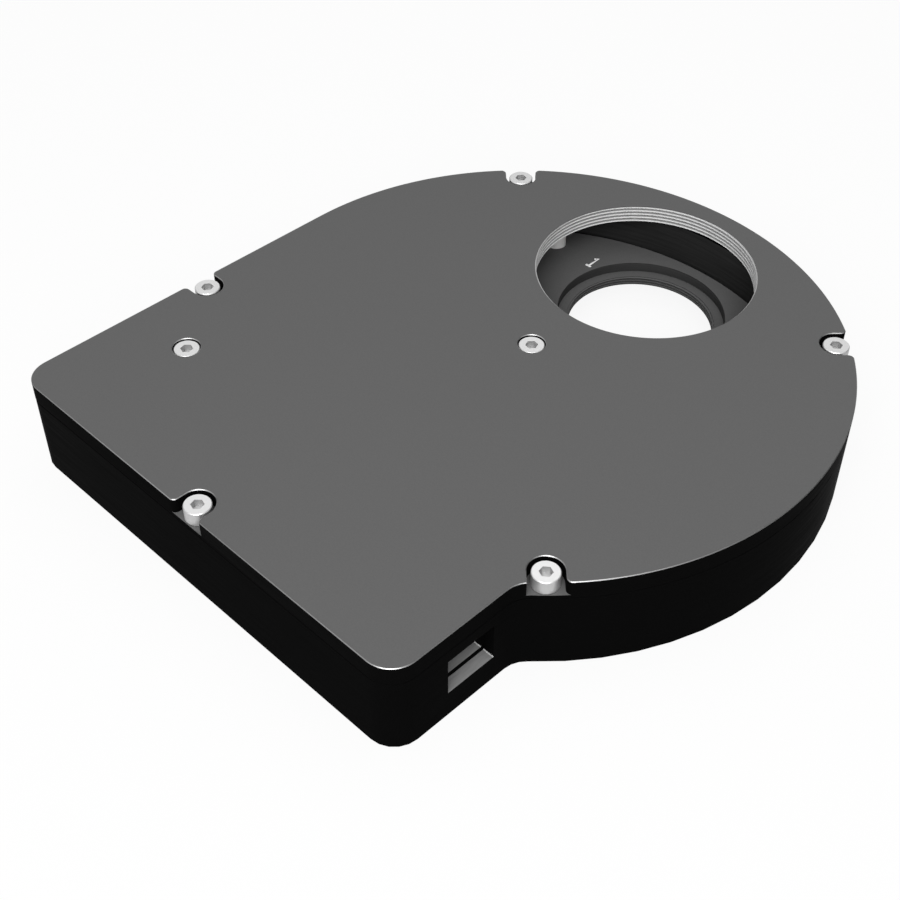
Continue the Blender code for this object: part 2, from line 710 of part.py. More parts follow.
def make_axle():
    """The wheel's axle: a post with a spigot in the floor, a flange under the bearings and a tapped top."""
    flange = BEARING_BORE_RADIUS + RING_THICKNESS / 2
    shaft = BEARING_BORE_RADIUS - SEAT_GAP
    top = BASE_HEIGHT
    tap_floor = top - POST_TAP_DEPTH
    tap = SCREW_HOLE_RADIUS
    profile = [
        (shaft, top),
        (shaft, LOWER_BEARING - SEAT_GAP),
        (flange, LOWER_BEARING - SEAT_GAP),
        (flange, FLOOR + SEAT_GAP),
        (AXLE_SPIGOT_RADIUS, FLOOR + SEAT_GAP),
        (AXLE_SPIGOT_RADIUS, FLOOR + SEAT_GAP - SPIGOT_DEPTH),
        (0.0, FLOOR + SEAT_GAP - SPIGOT_DEPTH),
    ]
    hole = [(0.0, tap_floor), (tap, tap_floor), (tap, top)]
    place(turned("wheel_axle", hole + profile, ring=False), PARTS, STEEL)
    sleeve = tube_profile(
        BEARING_BORE_RADIUS,
        BEARING_BORE_RADIUS + RING_THICKNESS,
        CIRCLIP_LEVEL,
        BASE_HEIGHT,
    )
    place(turned("axle_sleeve", sleeve), PARTS, BRASS)


def make_circlip(carrier):
    """The sprung ring that holds the upper bearing in the hub, open on one side, with two eyes for the pliers."""
    outer = BEARING_OUTER_RADIUS + CIRCLIP_GRIP
    inner = BEARING_OUTER_RADIUS - RING_THICKNESS / 2
    gap = 16
    outline = arc((0.0, 0.0), outer, gap, 360 - gap)
    outline += arc((0.0, 0.0), inner, 360 - gap, gap)
    clip = plate("hub_circlip", outline, CIRCLIP_LEVEL, CIRCLIP_LEVEL + CIRCLIP_THICKNESS)
    place(clip, PARTS, STEEL, carrier)


def gear_outline(teeth, phase):
    """An involute gear's outline round the origin, with a tooth's centre at the phase angle in degrees."""
    pitch = GEAR_MODULE * teeth / 2
    base = pitch * math.cos(PRESSURE_ANGLE)
    tip = pitch + GEAR_ADDENDUM * GEAR_MODULE
    root = pitch - GEAR_DEDENDUM * GEAR_MODULE
    half_at_pitch = math.pi / (2 * teeth) - GEAR_BACKLASH / (2 * pitch)
    at_pitch = math.tan(PRESSURE_ANGLE) - PRESSURE_ANGLE
    start = max(base, root)
    flank = []
    for i in range(3):
        radius = start + (tip - start) * i / 2
        turn = math.acos(min(1.0, base / radius))
        flank.append((radius, half_at_pitch + at_pitch - (math.tan(turn) - turn)))
    if root < base:
        flank.insert(0, (root, flank[0][1]))
    outline = []
    for tooth in range(teeth):
        middle = math.radians(phase) + 2 * math.pi * tooth / teeth
        rising = [(radius, middle - half) for radius, half in flank]
        falling = [(radius, middle + half) for radius, half in reversed(flank)]
        outline += [polar(radius, math.degrees(turn)) for radius, turn in rising + falling]
    return outline


def gear_phases():
    """The teeth's angles on the roller, idler and pinion, so that each pair is in mesh."""
    roller = IDLER_DIRECTION
    idler = IDLER_DIRECTION + 180 + 180 / IDLER_TEETH
    ahead = idler - PINION_DIRECTION
    pinion = PINION_DIRECTION + 180 + 180 / PINION_TEETH - ahead * IDLER_TEETH / PINION_TEETH
    return roller, idler, pinion


def make_gear(name, teeth, phase, bore, axis, carrier, surface):
    gear = plate(
        name,
        gear_outline(teeth, phase),
        GEAR_LEVEL,
        GEAR_TOP,
        holes=[circle((0.0, 0.0), bore)],
        at=axis,
    )
    return place(gear, PARTS, surface, carrier)


def make_roller(carrier):
    """The friction roller: a hub on a bronze bush, with a rubber tyre on the wheel's rim and a gear on its neck."""
    bore = ROLLER_POST_RADIUS + 2 * SEAT_GAP + BUSH_WALL
    shoulder = ROLLER_NECK_RADIUS + ROLLER_SHOULDER
    half = TYRE_SECTION_RADIUS
    rim_top, rim_bottom = WHEEL_MIDDLE + half + SEAT_GAP, WHEEL_MIDDLE - half - SEAT_GAP
    groove = []
    for i in range(5):
        angle = math.radians(90 + 180 * i / 4)
        reach = half + SEAT_GAP
        groove.append(
            (TYRE_RING_RADIUS + reach * math.cos(angle), WHEEL_MIDDLE + reach * math.sin(angle))
        )
    profile = [
        (ROLLER_NECK_RADIUS, GEAR_TOP),
        (ROLLER_NECK_RADIUS, GEAR_LEVEL - SEAT_GAP),
        (shoulder, GEAR_LEVEL - SEAT_GAP),
        (shoulder, rim_top + half / 3),
        (TYRE_RING_RADIUS, rim_top + half / 3),
        *groove,
        (TYRE_RING_RADIUS, rim_bottom - half / 3),
        (bore, rim_bottom - half / 3),
        (bore, GEAR_TOP),
    ]
    roller = turned("drive_roller", profile, ROLLER_AXIS)
    place(roller, PARTS, PLAIN_ALUMINIUM, carrier)
    bush = tube_profile(
        ROLLER_POST_RADIUS + SEAT_GAP,
        bore - SEAT_GAP,
        rim_bottom - half / 3,
        GEAR_TOP + RUNNING_GAP,
    )
    place(turned("roller_bush", bush, ROLLER_AXIS), PARTS, BRASS, carrier)
    bpy.ops.mesh.primitive_torus_add(
        location=(*ROLLER_AXIS, WHEEL_MIDDLE),
        major_radius=TYRE_RING_RADIUS,
        minor_radius=TYRE_SECTION_RADIUS,
        major_segments=facets_round(TYRE_RADIUS),
        minor_segments=8,
    )
    tyre = bpy.context.object
    tyre.name = tyre.data.name = "roller_tyre"
    smooth(tyre.data)
    place(tyre, PARTS, RUBBER, carrier)
    make_gear(
        "roller_gear",
        ROLLER_TEETH,
        gear_phases()[0],
        ROLLER_NECK_RADIUS + SEAT_GAP,
        ROLLER_AXIS,
        carrier,
        BRASS,
    )


def roller_hub_bottom():
    return WHEEL_MIDDLE - TYRE_SECTION_RADIUS * 4 / 3 - SEAT_GAP


def make_roller_post():
    """The roller's fixed post, clamped by a screw through the cover, and the sleeve that keeps the roller down."""
    top = BASE_HEIGHT
    flange_top = roller_hub_bottom() - RUNNING_GAP
    flange = ROLLER_POST_RADIUS + BUSH_WALL
    tap_floor = top - POST_TAP_DEPTH
    profile = [
        (0.0, tap_floor),
        (SCREW_HOLE_RADIUS, tap_floor),
        (SCREW_HOLE_RADIUS, top),
        (ROLLER_POST_RADIUS, top),
        (ROLLER_POST_RADIUS, flange_top),
        (flange, flange_top),
        (flange, FLOOR + SEAT_GAP),
        (ROLLER_SPIGOT_RADIUS, FLOOR + SEAT_GAP),
        (ROLLER_SPIGOT_RADIUS, FLOOR + SEAT_GAP - SPIGOT_DEPTH),
        (0.0, FLOOR + SEAT_GAP - SPIGOT_DEPTH),
    ]
    post = turned("roller_post", profile, ROLLER_AXIS, ring=False)
    place(post, PARTS, STEEL)
    sleeve = tube_profile(
        ROLLER_POST_RADIUS + SEAT_GAP,
        ROLLER_POST_RADIUS + BUSH_WALL,
        GEAR_TOP + 2 * RUNNING_GAP,
        BASE_HEIGHT,
    )
    place(turned("roller_sleeve", sleeve, ROLLER_AXIS), PARTS, STEEL)


def idler_boss_top():
    return GEAR_LEVEL - RUNNING_GAP


def make_idler(carrier):
    """The idler gear, on a pin in a boss of the base, under a clip."""
    bore = IDLER_PIN_RADIUS + SEAT_GAP
    make_gear("idler_gear", IDLER_TEETH, gear_phases()[1], bore, IDLER_AXIS, carrier, NYLON)
    pin_top = GEAR_TOP + 3 * RUNNING_GAP + CIRCLIP_THICKNESS
    pin = rod("idler_pin", IDLER_PIN_RADIUS, FLOOR + SEAT_GAP, pin_top, IDLER_AXIS)
    place(pin, PARTS, STEEL)
    clip_bottom = GEAR_TOP + RUNNING_GAP
    clip = plate(
        "idler_clip",
        arc((0.0, 0.0), IDLER_BOSS_RADIUS, 30, 330)
        + arc((0.0, 0.0), IDLER_PIN_RADIUS + SEAT_GAP, 330, 30),
        clip_bottom,
        clip_bottom + CIRCLIP_THICKNESS,
        at=IDLER_AXIS,
    )
    place(clip, PARTS, STEEL)


def motor_ears():
    return [
        moved(MOTOR_AXIS, EAR_DISTANCE, EAR_DIRECTION),
        moved(MOTOR_AXIS, EAR_DISTANCE, EAR_DIRECTION + 180),
    ]


def ear_seat():
    return MOTOR_TOP - SEAT_GAP


def make_small_screw(name, spot, seat):
    """An M2 cheese head screw with a slot."""
    top = seat + SMALL_HEAD_HEIGHT
    profile = [
        (0.0, top),
        (SMALL_HEAD_RADIUS - SEAT_GAP, top),
        (SMALL_HEAD_RADIUS, top - 2 * SEAT_GAP),
        (SMALL_HEAD_RADIUS, seat),
        (SMALL_SCREW_RADIUS, seat),
        (SMALL_SCREW_RADIUS, seat - SMALL_SHANK_LENGTH),
        (0.0, seat - SMALL_SHANK_LENGTH),
    ]
    screw = turned(name, profile, spot, ring=False)
    place(screw, PARTS, STEEL)
    half_slot = SMALL_HEAD_RADIUS / 7
    low = (spot[0] - 2 * SMALL_HEAD_RADIUS, spot[1] - half_slot, top - SMALL_HEAD_HEIGHT / 2)
    high = (spot[0] + 2 * SMALL_HEAD_RADIUS, spot[1] + half_slot, top + SMALL_HEAD_HEIGHT)
    cut(screw, block(f"{name}_slot", low, high))


def make_motor(carrier):
    """The flat motor in its pocket: can, flange with two ears, shaft, pinion and the screws in the ears."""
    can = [
        (0.0, MOTOR_TOP),
        (MOTOR_RADIUS, MOTOR_TOP),
        (MOTOR_RADIUS, MOTOR_FLOOR + SEAT_GAP + HEAD_CHAMFER),
        (MOTOR_RADIUS - HEAD_CHAMFER, MOTOR_FLOOR + SEAT_GAP),
        (0.0, MOTOR_FLOOR + SEAT_GAP),
    ]
    case = turned("motor_case", can, MOTOR_AXIS, ring=False)
    place(case, PARTS, STEEL)
    flange_bottom, flange_top = MOTOR_TOP + SEAT_GAP, MOTOR_FLANGE_TOP
    rim = MOTOR_RADIUS - SEAT_GAP
    spread = math.degrees(math.asin((rim - EAR_RADIUS) / EAR_DISTANCE))
    outline = []
    for side in (0, 180):
        ear = polar(EAR_DISTANCE, EAR_DIRECTION + side)
        outline += arc(ear, EAR_RADIUS, EAR_DIRECTION + side + spread - 90, EAR_DIRECTION + side + 90 - spread)
        outline += arc((0.0, 0.0), rim, EAR_DIRECTION + side + 90 - spread, EAR_DIRECTION + side + 90 + spread)
    holes = [circle((0.0, 0.0), 2 * MOTOR_SHAFT_RADIUS)]
    for side in (0, 180):
        spot = polar(EAR_DISTANCE, EAR_DIRECTION + side)
        holes.append(circle(spot, SMALL_SCREW_RADIUS + SEAT_GAP))
    flange = plate("motor_flange", outline, flange_bottom, flange_top, holes=holes, at=MOTOR_AXIS)
    place(flange, PARTS, STEEL)
    shaft_bottom = MOTOR_TOP + RUNNING_GAP / 2
    shaft_top = GEAR_TOP + RUNNING_GAP
    shaft = rod("motor_shaft", MOTOR_SHAFT_RADIUS, shaft_bottom, shaft_top, MOTOR_AXIS)
    place(shaft, PARTS, STEEL, carrier)
    bore = MOTOR_SHAFT_RADIUS + SEAT_GAP
    make_gear("motor_pinion", PINION_TEETH, gear_phases()[2], bore, MOTOR_AXIS, carrier, BRASS)
    for number, ear in enumerate(motor_ears(), 1):
        make_small_screw(f"motor_screw_{number}", ear, flange_top + SEAT_GAP)


def board_screw_places():
    y = BOARD_FRONT + SMALL_BOSS_RADIUS
    return [(BOARD_LEFT + 3 * SMALL_BOSS_RADIUS, y), (BOARD_RIGHT - SMALL_BOSS_RADIUS, y)]


def board_outline():
    """The board's outline: straight along the front and right walls, and hollowed where the wheel turns."""
    left_turn = math.degrees(math.acos(BOARD_LEFT / BOARD_HOLLOW))
    right_turn = -math.degrees(math.asin(BOARD_BACK / BOARD_HOLLOW))
    outline = [(BOARD_LEFT, BOARD_FRONT), (BOARD_RIGHT, BOARD_FRONT), (BOARD_RIGHT, BOARD_BACK)]
    return outline + arc((0.0, 0.0), BOARD_HOLLOW, -right_turn, -left_turn)


def make_board():
    """The control board with its chips, the magnet sensor, the motor's header and two screws."""
    holes = [circle(spot, SMALL_SCREW_RADIUS + SEAT_GAP) for spot in board_screw_places()]
    board = plate("control_board", board_outline(), BOARD_UNDERSIDE, BOARD_TOP, holes=holes)
    place(board, PARTS, BOARD_GREEN)
    for number, spot in enumerate(board_screw_places(), 1):
        make_small_screw(f"board_screw_{number}", spot, BOARD_TOP + SEAT_GAP)
    make_board_part("controller_chip", *CONTROLLER, CHIP_BLACK)
    make_board_part("driver_chip", *DRIVER, CHIP_BLACK)
    make_board_part("crystal", *CRYSTAL, NICKEL)
    make_board_part("motor_header", *HEADER, CREAM_PLASTIC)
    sensor_offset = (-BOARD_LEFT, -BOARD_HOLLOW - SENSOR_FROM_EDGE - BOARD_FRONT)
    make_board_part("hall_sensor", sensor_offset, SENSOR_SIZE, CHIP_BLACK)


def make_board_part(name, offset, size, surface):
    """A part on the board, from its centre's place over the board's left front corner."""
    x, y = BOARD_LEFT + offset[0], BOARD_FRONT + offset[1]
    width, length, height = size
    seat = BOARD_TOP + SEAT_GAP
    low = (x - width / 2, y - length / 2, seat)
    high = (x + width / 2, y + length / 2, seat + height)
    place(block(name, low, high), PARTS, surface)


def make_usb_socket():
    """The mini USB socket: a folded metal shell, open at its mouth, and the tongue with its contacts inside."""
    mouth = RIGHT_DISTANCE - WALL - SEAT_GAP
    back = mouth - USB_SHELL_LENGTH
    shell = usb_block("usb_shell", back, mouth, USB_SHELL_WIDTH, USB_SHELL_HEIGHT)
    place(shell, PARTS, NICKEL)
    rounding = shell.modifiers.new("rounded", "BEVEL")
    rounding.width = USB_SHELL_WALL
    rounding.segments = 2
    inner_width = USB_SHELL_WIDTH - 2 * USB_SHELL_WALL
    inner_height = USB_SHELL_HEIGHT - 2 * USB_SHELL_WALL
    inner_back = back + USB_SHELL_WALL
    beyond = mouth + USB_SHELL_WALL
    cut(shell, usb_block("usb_shell_hollow", inner_back, beyond, inner_width, inner_height))
    tongue_width = inner_width * 0.55
    tongue = usb_block(
        "usb_tongue",
        inner_back + SEAT_GAP,
        mouth - 3 * USB_SHELL_WALL,
        tongue_width,
        USB_SHELL_WALL * 2.5,
    )
    place(tongue, PARTS, CHIP_BLACK)


def make_lead(name, side, surface):
    """A motor lead, from a solder tag on the can to the header on the board."""
    direction = LEAD_DIRECTION + side * LEAD_SPREAD
    start = moved(MOTOR_AXIS, MOTOR_RADIUS + LEAD_RADIUS + 2 * SEAT_GAP, direction)
    (header_x, header_y), (header_width, _, header_height) = HEADER
    end_x = BOARD_LEFT + header_x - header_width / 2 - SEAT_GAP
    end_y = BOARD_FRONT + header_y + side * HEADER_PITCH / 2
    level = BOARD_TOP + header_height / 2
    points = [
        (*start, FLOOR + 0.0012),
        (*start, FLOOR + 0.0030),
        (end_x - 0.0045, end_y - 0.0012, level - 0.0006),
        (end_x - 0.0020, end_y, level),
        (end_x, end_y, level),
    ]
    curve = bpy.data.curves.new(name, "CURVE")
    curve.dimensions = "3D"
    curve.bevel_depth = LEAD_RADIUS
    curve.bevel_resolution = 2
    curve.use_fill_caps = True
    spline = curve.splines.new("POLY")
    smooth_points = rounded_route(points)
    spline.points.add(len(smooth_points) - 1)
    for spot, point in zip(spline.points, smooth_points):
        spot.co = (*point, 1.0)
    lead = bpy.data.objects.new(name, curve)
    place(lead, PARTS, surface)


def rounded_route(points):
    """A smooth curve through a route's points."""
    ends = [points[0], *points, points[-1]]
    made = []
    for i in range(1, len(ends) - 2):
        a, b, c, d = (Vector(p) for p in ends[i - 1 : i + 3])
        for step in range(4):
            t = step / 4
            made.append(
                0.5
                * (
                    2 * b
                    + (c - a) * t
                    + (2 * a - 5 * b + 4 * c - d) * t * t
                    + (3 * b - a - 3 * c + d) * t**3
                )
            )
    made.append(Vector(points[-1]))
    return made


def axis_empty(name, spot):
    empty = bpy.data.objects.new(name, None)
    empty.location = (*spot, 0.0)
    empty.empty_display_size = WALL
    PARTS.objects.link(empty)
    return empty


def make_all():
    make_base()
    make_cover()
    make_cover_screws()
    wheel_carrier = axis_empty("wheel_axis", (0.0, 0.0))
    cage_carrier = axis_empty("cage_axis", (0.0, 0.0))
    roller_carrier = axis_empty("roller_axis", ROLLER_AXIS)
    idler_carrier = axis_empty("idler_axis", IDLER_AXIS)
    rotor_carrier = axis_empty("motor_axis", MOTOR_AXIS)
    make_wheel(wheel_carrier)
    make_magnets(wheel_carrier)
    make_circlip(wheel_carrier)
    make_bearing("lower_bearing", LOWER_BEARING, wheel_carrier, cage_carrier)
    make_bearing("upper_bearing", UPPER_BEARING, wheel_carrier, cage_carrier)
    make_axle()
    make_roller(roller_carrier)
    make_roller_post()
    make_idler(idler_carrier)
    make_motor(rotor_carrier)
    make_board()
    make_usb_socket()
    make_lead("motor_lead_red", -1, LEAD_RED)
    make_lead("motor_lead_black", 1, CHIP_BLACK)


for leftover in list(bpy.data.objects):
    bpy.data.objects.remove(leftover)
PARTS = new_collection("optical_filter_wheel")
HELPERS = new_collection("cutters")
GREY_ANODISED = material("grey_anodised", (0.136, 0.136, 0.136), 0.45, 0.2)
BLACK_ANODISED = material("black_anodised", (0.012, 0.012, 0.013), 0.45, 0.2)
WHEEL_ANODISED = material("wheel_anodised", (0.070, 0.070, 0.072), 0.5, 0.2)
PLAIN_ALUMINIUM = material("plain_aluminium", (0.75, 0.75, 0.77), 0.3, 1.0)
STEEL = material("bright_steel", (0.80, 0.80, 0.80), 0.25, 1.0)
NICKEL = material("nickel_plate", (0.82, 0.80, 0.77), 0.2, 1.0)
BRASS = material("brass", (0.75, 0.56, 0.25), 0.3, 1.0)
NYLON = material("white_nylon", (0.80, 0.79, 0.75), 0.5, 0.0)
RUBBER = material("black_rubber", (0.02, 0.02, 0.02), 0.8, 0.0)
BOARD_GREEN = material("board_green", (0.02, 0.14, 0.05), 0.4, 0.0)
CHIP_BLACK = material("chip_black", (0.02, 0.02, 0.022), 0.5, 0.0)
CREAM_PLASTIC = material("cream_plastic", (0.80, 0.76, 0.64), 0.5, 0.0)
LEAD_RED = material("lead_red", (0.50, 0.02, 0.02), 0.5, 0.0)
make_all()
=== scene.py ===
"""The looks of a slim motorised optical filter wheel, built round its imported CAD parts. Sizes are in metres.

The solids of the cover, the seven socket screws, the wheel and its five magnets are replaced here by copies
with chamfers, threads and rounder curves. All the other solids stay, and get their finishes.
"""

import math

import bmesh
import bpy
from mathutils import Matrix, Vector


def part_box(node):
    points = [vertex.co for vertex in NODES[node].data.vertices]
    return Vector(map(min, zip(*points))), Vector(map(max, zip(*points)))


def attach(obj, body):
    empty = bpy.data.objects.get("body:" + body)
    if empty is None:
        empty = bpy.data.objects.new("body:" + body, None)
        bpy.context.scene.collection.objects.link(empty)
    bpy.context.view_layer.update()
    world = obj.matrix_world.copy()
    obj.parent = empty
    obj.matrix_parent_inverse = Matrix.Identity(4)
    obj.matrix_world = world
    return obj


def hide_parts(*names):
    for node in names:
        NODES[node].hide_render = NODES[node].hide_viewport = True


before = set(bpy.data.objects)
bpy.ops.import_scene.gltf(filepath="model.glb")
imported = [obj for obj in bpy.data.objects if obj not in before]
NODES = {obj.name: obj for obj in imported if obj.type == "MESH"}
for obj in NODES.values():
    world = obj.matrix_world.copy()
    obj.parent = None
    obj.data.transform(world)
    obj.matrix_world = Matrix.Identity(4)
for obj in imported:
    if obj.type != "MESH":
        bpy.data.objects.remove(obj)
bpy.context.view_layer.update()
MM = 0.001

# Sizes that the frame gives
COVER_LOW, COVER_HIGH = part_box("top_cover")
BASE_LOW, BASE_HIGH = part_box("base_housing")
WHEEL_LOW, WHEEL_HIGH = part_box("filter_wheel")
COVER_TOP = COVER_HIGH.z
COVER_BOTTOM = COVER_LOW.z
HOUSING_RADIUS = COVER_HIGH.y
FRONT_Y = COVER_LOW.y
WHEEL_RADIUS = WHEEL_HIGH.x
WHEEL_BOTTOM = WHEEL_LOW.z
HUB_TOP = WHEEL_HIGH.z

# Housing
RIGHT_X = 36.7 * MM
FLOOR_TOP = 3.6 * MM
CORNER_RADIUS = 5.0 * MM
EDGE_CHAMFER = 0.12 * MM
FIT_GAP = 0.1 * MM
NOTCH_RADIUS = 3.0 * MM
NOTCH_FLARE = 1.0 * MM
NOTCH_OVERSHOOT = 0.03 * MM
# The wheel's chamber lies inside this radius, and the USB opening within this margin of its shell.
CHAMBER_RADIUS = WHEEL_RADIUS + 3.0 * MM
USB_MARGIN = 2.0 * MM

# Socket screws
SCREW_INSET = 2.5 * MM
HEAD_SINK = 2.85 * MM
HEAD_RADIUS = 2.34 * MM
HEAD_HEIGHT = 2.5 * MM
HEAD_CHAMFER = 0.13 * MM
HEAD_POCKET_RADIUS = 2.5 * MM
SHANK_RADIUS = 1.2 * MM
SHANK_HOLE_RADIUS = 1.45 * MM
SOCKET_ACROSS_FLATS = 2.0 * MM
SOCKET_DEPTH = 1.3 * MM
SOCKET_MARGIN = 0.01 * MM

# Each cover screw, with the direction in degrees of the edge that its notch opens to
COVER_SCREWS = {
    "cover_screw_1": -45,
    "cover_screw_2": 45,
    "cover_screw_3": 135,
    "cover_screw_4": 180,
    "cover_screw_5": 270,
}
STRAIGHT_EDGES = (180, 270)
EDGE_BESIDE_FILLET = COVER_SCREWS["cover_screw_1"]
SUNK_SCREWS = ("axle_screw", "post_screw")

# Where each driver stopped: the turn of the hexagon in degrees, as in the photograph
SOCKET_TURNS = {
    "cover_screw_1": 38,
    "cover_screw_2": 42,
    "cover_screw_3": 50,
    "cover_screw_4": 52,
    "cover_screw_5": 45,
    "axle_screw": 50,
    "post_screw": 44,
}

# The two steps of the USB opening, the fillets on their floors, and the contacts on the socket's tongue
RECESS_X = 34.6 * MM
RECESS_HALF_WIDTH = 4.9 * MM
RECESS_FLOOR = 5.4 * MM
OPENING_HALF_WIDTH = 4.3 * MM
OPENING_FLOOR = 6.5 * MM
FILLET_RADIUS = 0.17 * MM
FILLET_STEPS = 6
CONTACT_COUNT = 5
CONTACT_PITCH = 0.65 * MM
CONTACT_HALF_WIDTH = CONTACT_PITCH * 0.3
CONTACT_SINK = 0.01 * MM
CONTACT_PROUD = 0.05 * MM

# Wheel, with its hub, its filter seats and its magnets
WHEEL_TOP = WHEEL_BOTTOM + 3.9 * MM
HUB_RADIUS = 10.5 * MM
BEARING_SEAT_RADIUS = 8.1 * MM
BEARING_LIP_RADIUS = 7.4 * MM
BEARING_LIP_HEIGHT = 0.6 * MM
CLIP_GROOVE_RADIUS = 8.6 * MM
CLIP_SEAT_GAP = 0.05 * MM
FILTER_COUNT = 5
FILTER_DISTANCE = WHEEL_RADIUS - 18.65 * MM
POCKET_RADIUS = 16.1 * MM
POCKET_DEPTH = 2.0 * MM
MAGNET_HOLE_RADIUS = 2.05 * MM
MAGNET_HOLE_GAP = 0.02 * MM
PIN_CHAMFER = 0.3 * MM

# Threads: M42 x 0.75 in the ports and M28.5 x 0.6 in the seats
PORT_RADIUS = 20.6 * MM
PORT_PITCH = 0.75 * MM
PORT_THREAD_DEPTH = 0.40 * MM
PORT_MOUTH = 0.2 * MM
PORT_LIP = 0.06 * MM
SEAT_RADIUS = 14.25 * MM
SEAT_PITCH = 0.6 * MM
SEAT_THREAD_DEPTH = 0.30 * MM
SLEEVE_WALL = 0.03 * MM
# The base's bore is a solid's, with flat facets, which would stand through a thread set closer than this.
BASE_THREAD_INSET = 0.08 * MM
SEAT_THREAD_INSET = 0.02 * MM
# How far round a thread is at its lower end, in turns, as in the photograph
THREAD_START = 0.627
# The ridge over one pitch: its corners as place and height, half its crest and one flank, in shares
RIDGE_CORNERS = ((0.1, 0.0), (0.3, 1.0), (0.7, 1.0), (0.9, 0.0))
RIDGE_HALF_CREST = 0.2
RIDGE_FLANK = 0.2

# Numbers on the wheel, by their place beside the first filter
NUMBER_RADIUS = 41.2 * MM
NUMBER_TURN = 24.55
NUMBER_HEIGHT = 3.1 * MM
INK_WIDTH = 0.52 * MM
INK_PROUD = 0.02 * MM
DIGIT_BEND_STEPS = 12

# How finely rounds are drawn: the most that a chord stands off its arc, and the sides of turned pieces
CHORD_ERROR = 0.006 * MM
PORT_SIDES = 240
WHEEL_SIDES = 256
THREAD_SIDES = 192
HEAD_SIDES = 64
PIN_SIDES = 48
HOLE_SIDES = 32

# Points closer than this are one point. Cuts leave corners a little further apart than that, which a
# chamfer needs joined. A turned shape starts with double points on its axis and faces of no area.
SAME_POINT = 0.001 * MM
CUT_JOIN = 0.004 * MM
SPIN_JOIN = 1e-7
SLIVER_AREA = 1e-14

# Edges sharper than this many degrees stay sharp. Small shapes have coarser facets, so theirs is larger.
SHARP_DEGREES = 30
SMALL_SHARP_DEGREES = 50
# A corner that gets a chamfer turns by more than this, in radians.
CHAMFERED_TURN = 1.0

# A face is level above the first upward share of its normal, slanted above the second, and otherwise upright.
LEVEL = 0.95
SLANT = 0.3
# A thread's face is its crest or root below this share.
STEEP = 0.5
LEVEL_FACE, SLANTED_FACE, UPRIGHT_FACE, DOWNWARD_FACE, RECESSED_FACE, CHAMBER_FACE = range(6)

# Noise seldom leaves this middle part of its range, so this part is spread over the whole of a variation.
NOISE_LOW, NOISE_HIGH = 0.3, 0.7

# Camera, fitted to the outline, port and screws in the photograph
CAMERA_PLACE = (132.00 * MM, -152.68 * MM, 181.52 * MM)
CAMERA_ANGLES = (46.861, -0.086, 45.016)
CAMERA_LENS = 58.453
SENSOR_WIDTH = 36.0

# Floor: its half width and thickness, its distance below the part, and how much of it glows by itself
FLOOR_HALF = 3.0
FLOOR_THICKNESS = 0.01
FLOOR_GAP = 0.02 * MM
FLOOR_GLOW_SHARE = 0.9
FLOOR_MIRRORED_GLOW = 0.5

# Sky: its light on matt surfaces, and the ceiling that shiny ones mirror. The ceiling is bright overhead and
# to the left front, and fades over these ranges to these levels at the right back and at the horizon.
SKY_FILL = 0.3
BRIGHT_SIDE = (-0.5, -0.5, 0.7)
SIDE_RANGE = (-0.25, 0.3)
DIM_SIDE_LEVEL = 0.3
HEIGHT_RANGE = (0.15, 0.6)
HORIZON_LEVEL = 0.15


# Colours and nodes
def linear(hex_colour):
    """An sRGB hex value as linear red, green, blue and alpha."""
    parts = [int(hex_colour[i : i + 2], 16) / 255 for i in (1, 3, 5)]
    return [c / 12.92 if c <= 0.04045 else ((c + 0.055) / 1.055) ** 2.4 for c in parts] + [1.0]


def add(tree, kind, settings=None, **links):
    """Adds a node. settings holds properties by name and inputs by number, and links joins other sockets."""
    node = tree.nodes.new(kind)
    for key, value in (settings or {}).items():
        if isinstance(key, int):
            node.inputs[key].default_value = value
        else:
            setattr(node, key, value)
    for key, socket in links.items():
        tree.links.new(socket, node.inputs[key.replace("_", " ")])
    return node


def remap(tree, value, start, end, low, high):
    """A node that spreads the values between start and end over the range from low to high."""
    return add(tree, "ShaderNodeMapRange", {1: start, 2: end, 3: low, 4: high}, Value=value)


def surface(name, colour, roughness, metallic=0.0, specular=0.5):
    """A new material with its Principled BSDF set, as (material, node tree, BSDF)."""
    made = bpy.data.materials.new(name)
    made.use_nodes = True
    tree = made.node_tree
    shader = tree.nodes["Principled BSDF"]
    shader.inputs["Base Color"].default_value = linear(colour)
    shader.inputs["Roughness"].default_value = roughness
    shader.inputs["Metallic"].default_value = metallic
    shader.inputs["Specular IOR Level"].default_value = specular
    return made, tree, shader


def place_in_mm(tree, stretch):
    """The object's own coordinates in millimetres, stretched along the axes."""
    coordinates = add(tree, "ShaderNodeTexCoord")
    scaled = add(tree, "ShaderNodeMapping", Vector=coordinates.outputs["Object"])
    scaled.inputs["Scale"].default_value = [s / MM for s in stretch]
    return scaled.outputs["Vector"]


def grain(tree, shader, size, depth, stretch=(1.0, 1.0, 1.0), detail=3.0):
    """A bump of grains of a size in mm that stand a depth in mm. It returns the noise for other uses."""
    noise = add(tree, "ShaderNodeTexNoise", {"noise_dimensions": "3D"}, Vector=place_in_mm(tree, stretch))
    noise.inputs["Scale"].default_value = 1.0 / size
    noise.inputs["Detail"].default_value = detail
    bump = add(tree, "ShaderNodeBump", Height=noise.outputs["Fac"])
    bump.inputs["Strength"].default_value = 1.0
    bump.inputs["Distance"].default_value = depth * MM
    tree.links.new(bump.outputs["Normal"], shader.inputs["Normal"])
    return noise.outputs["Fac"]


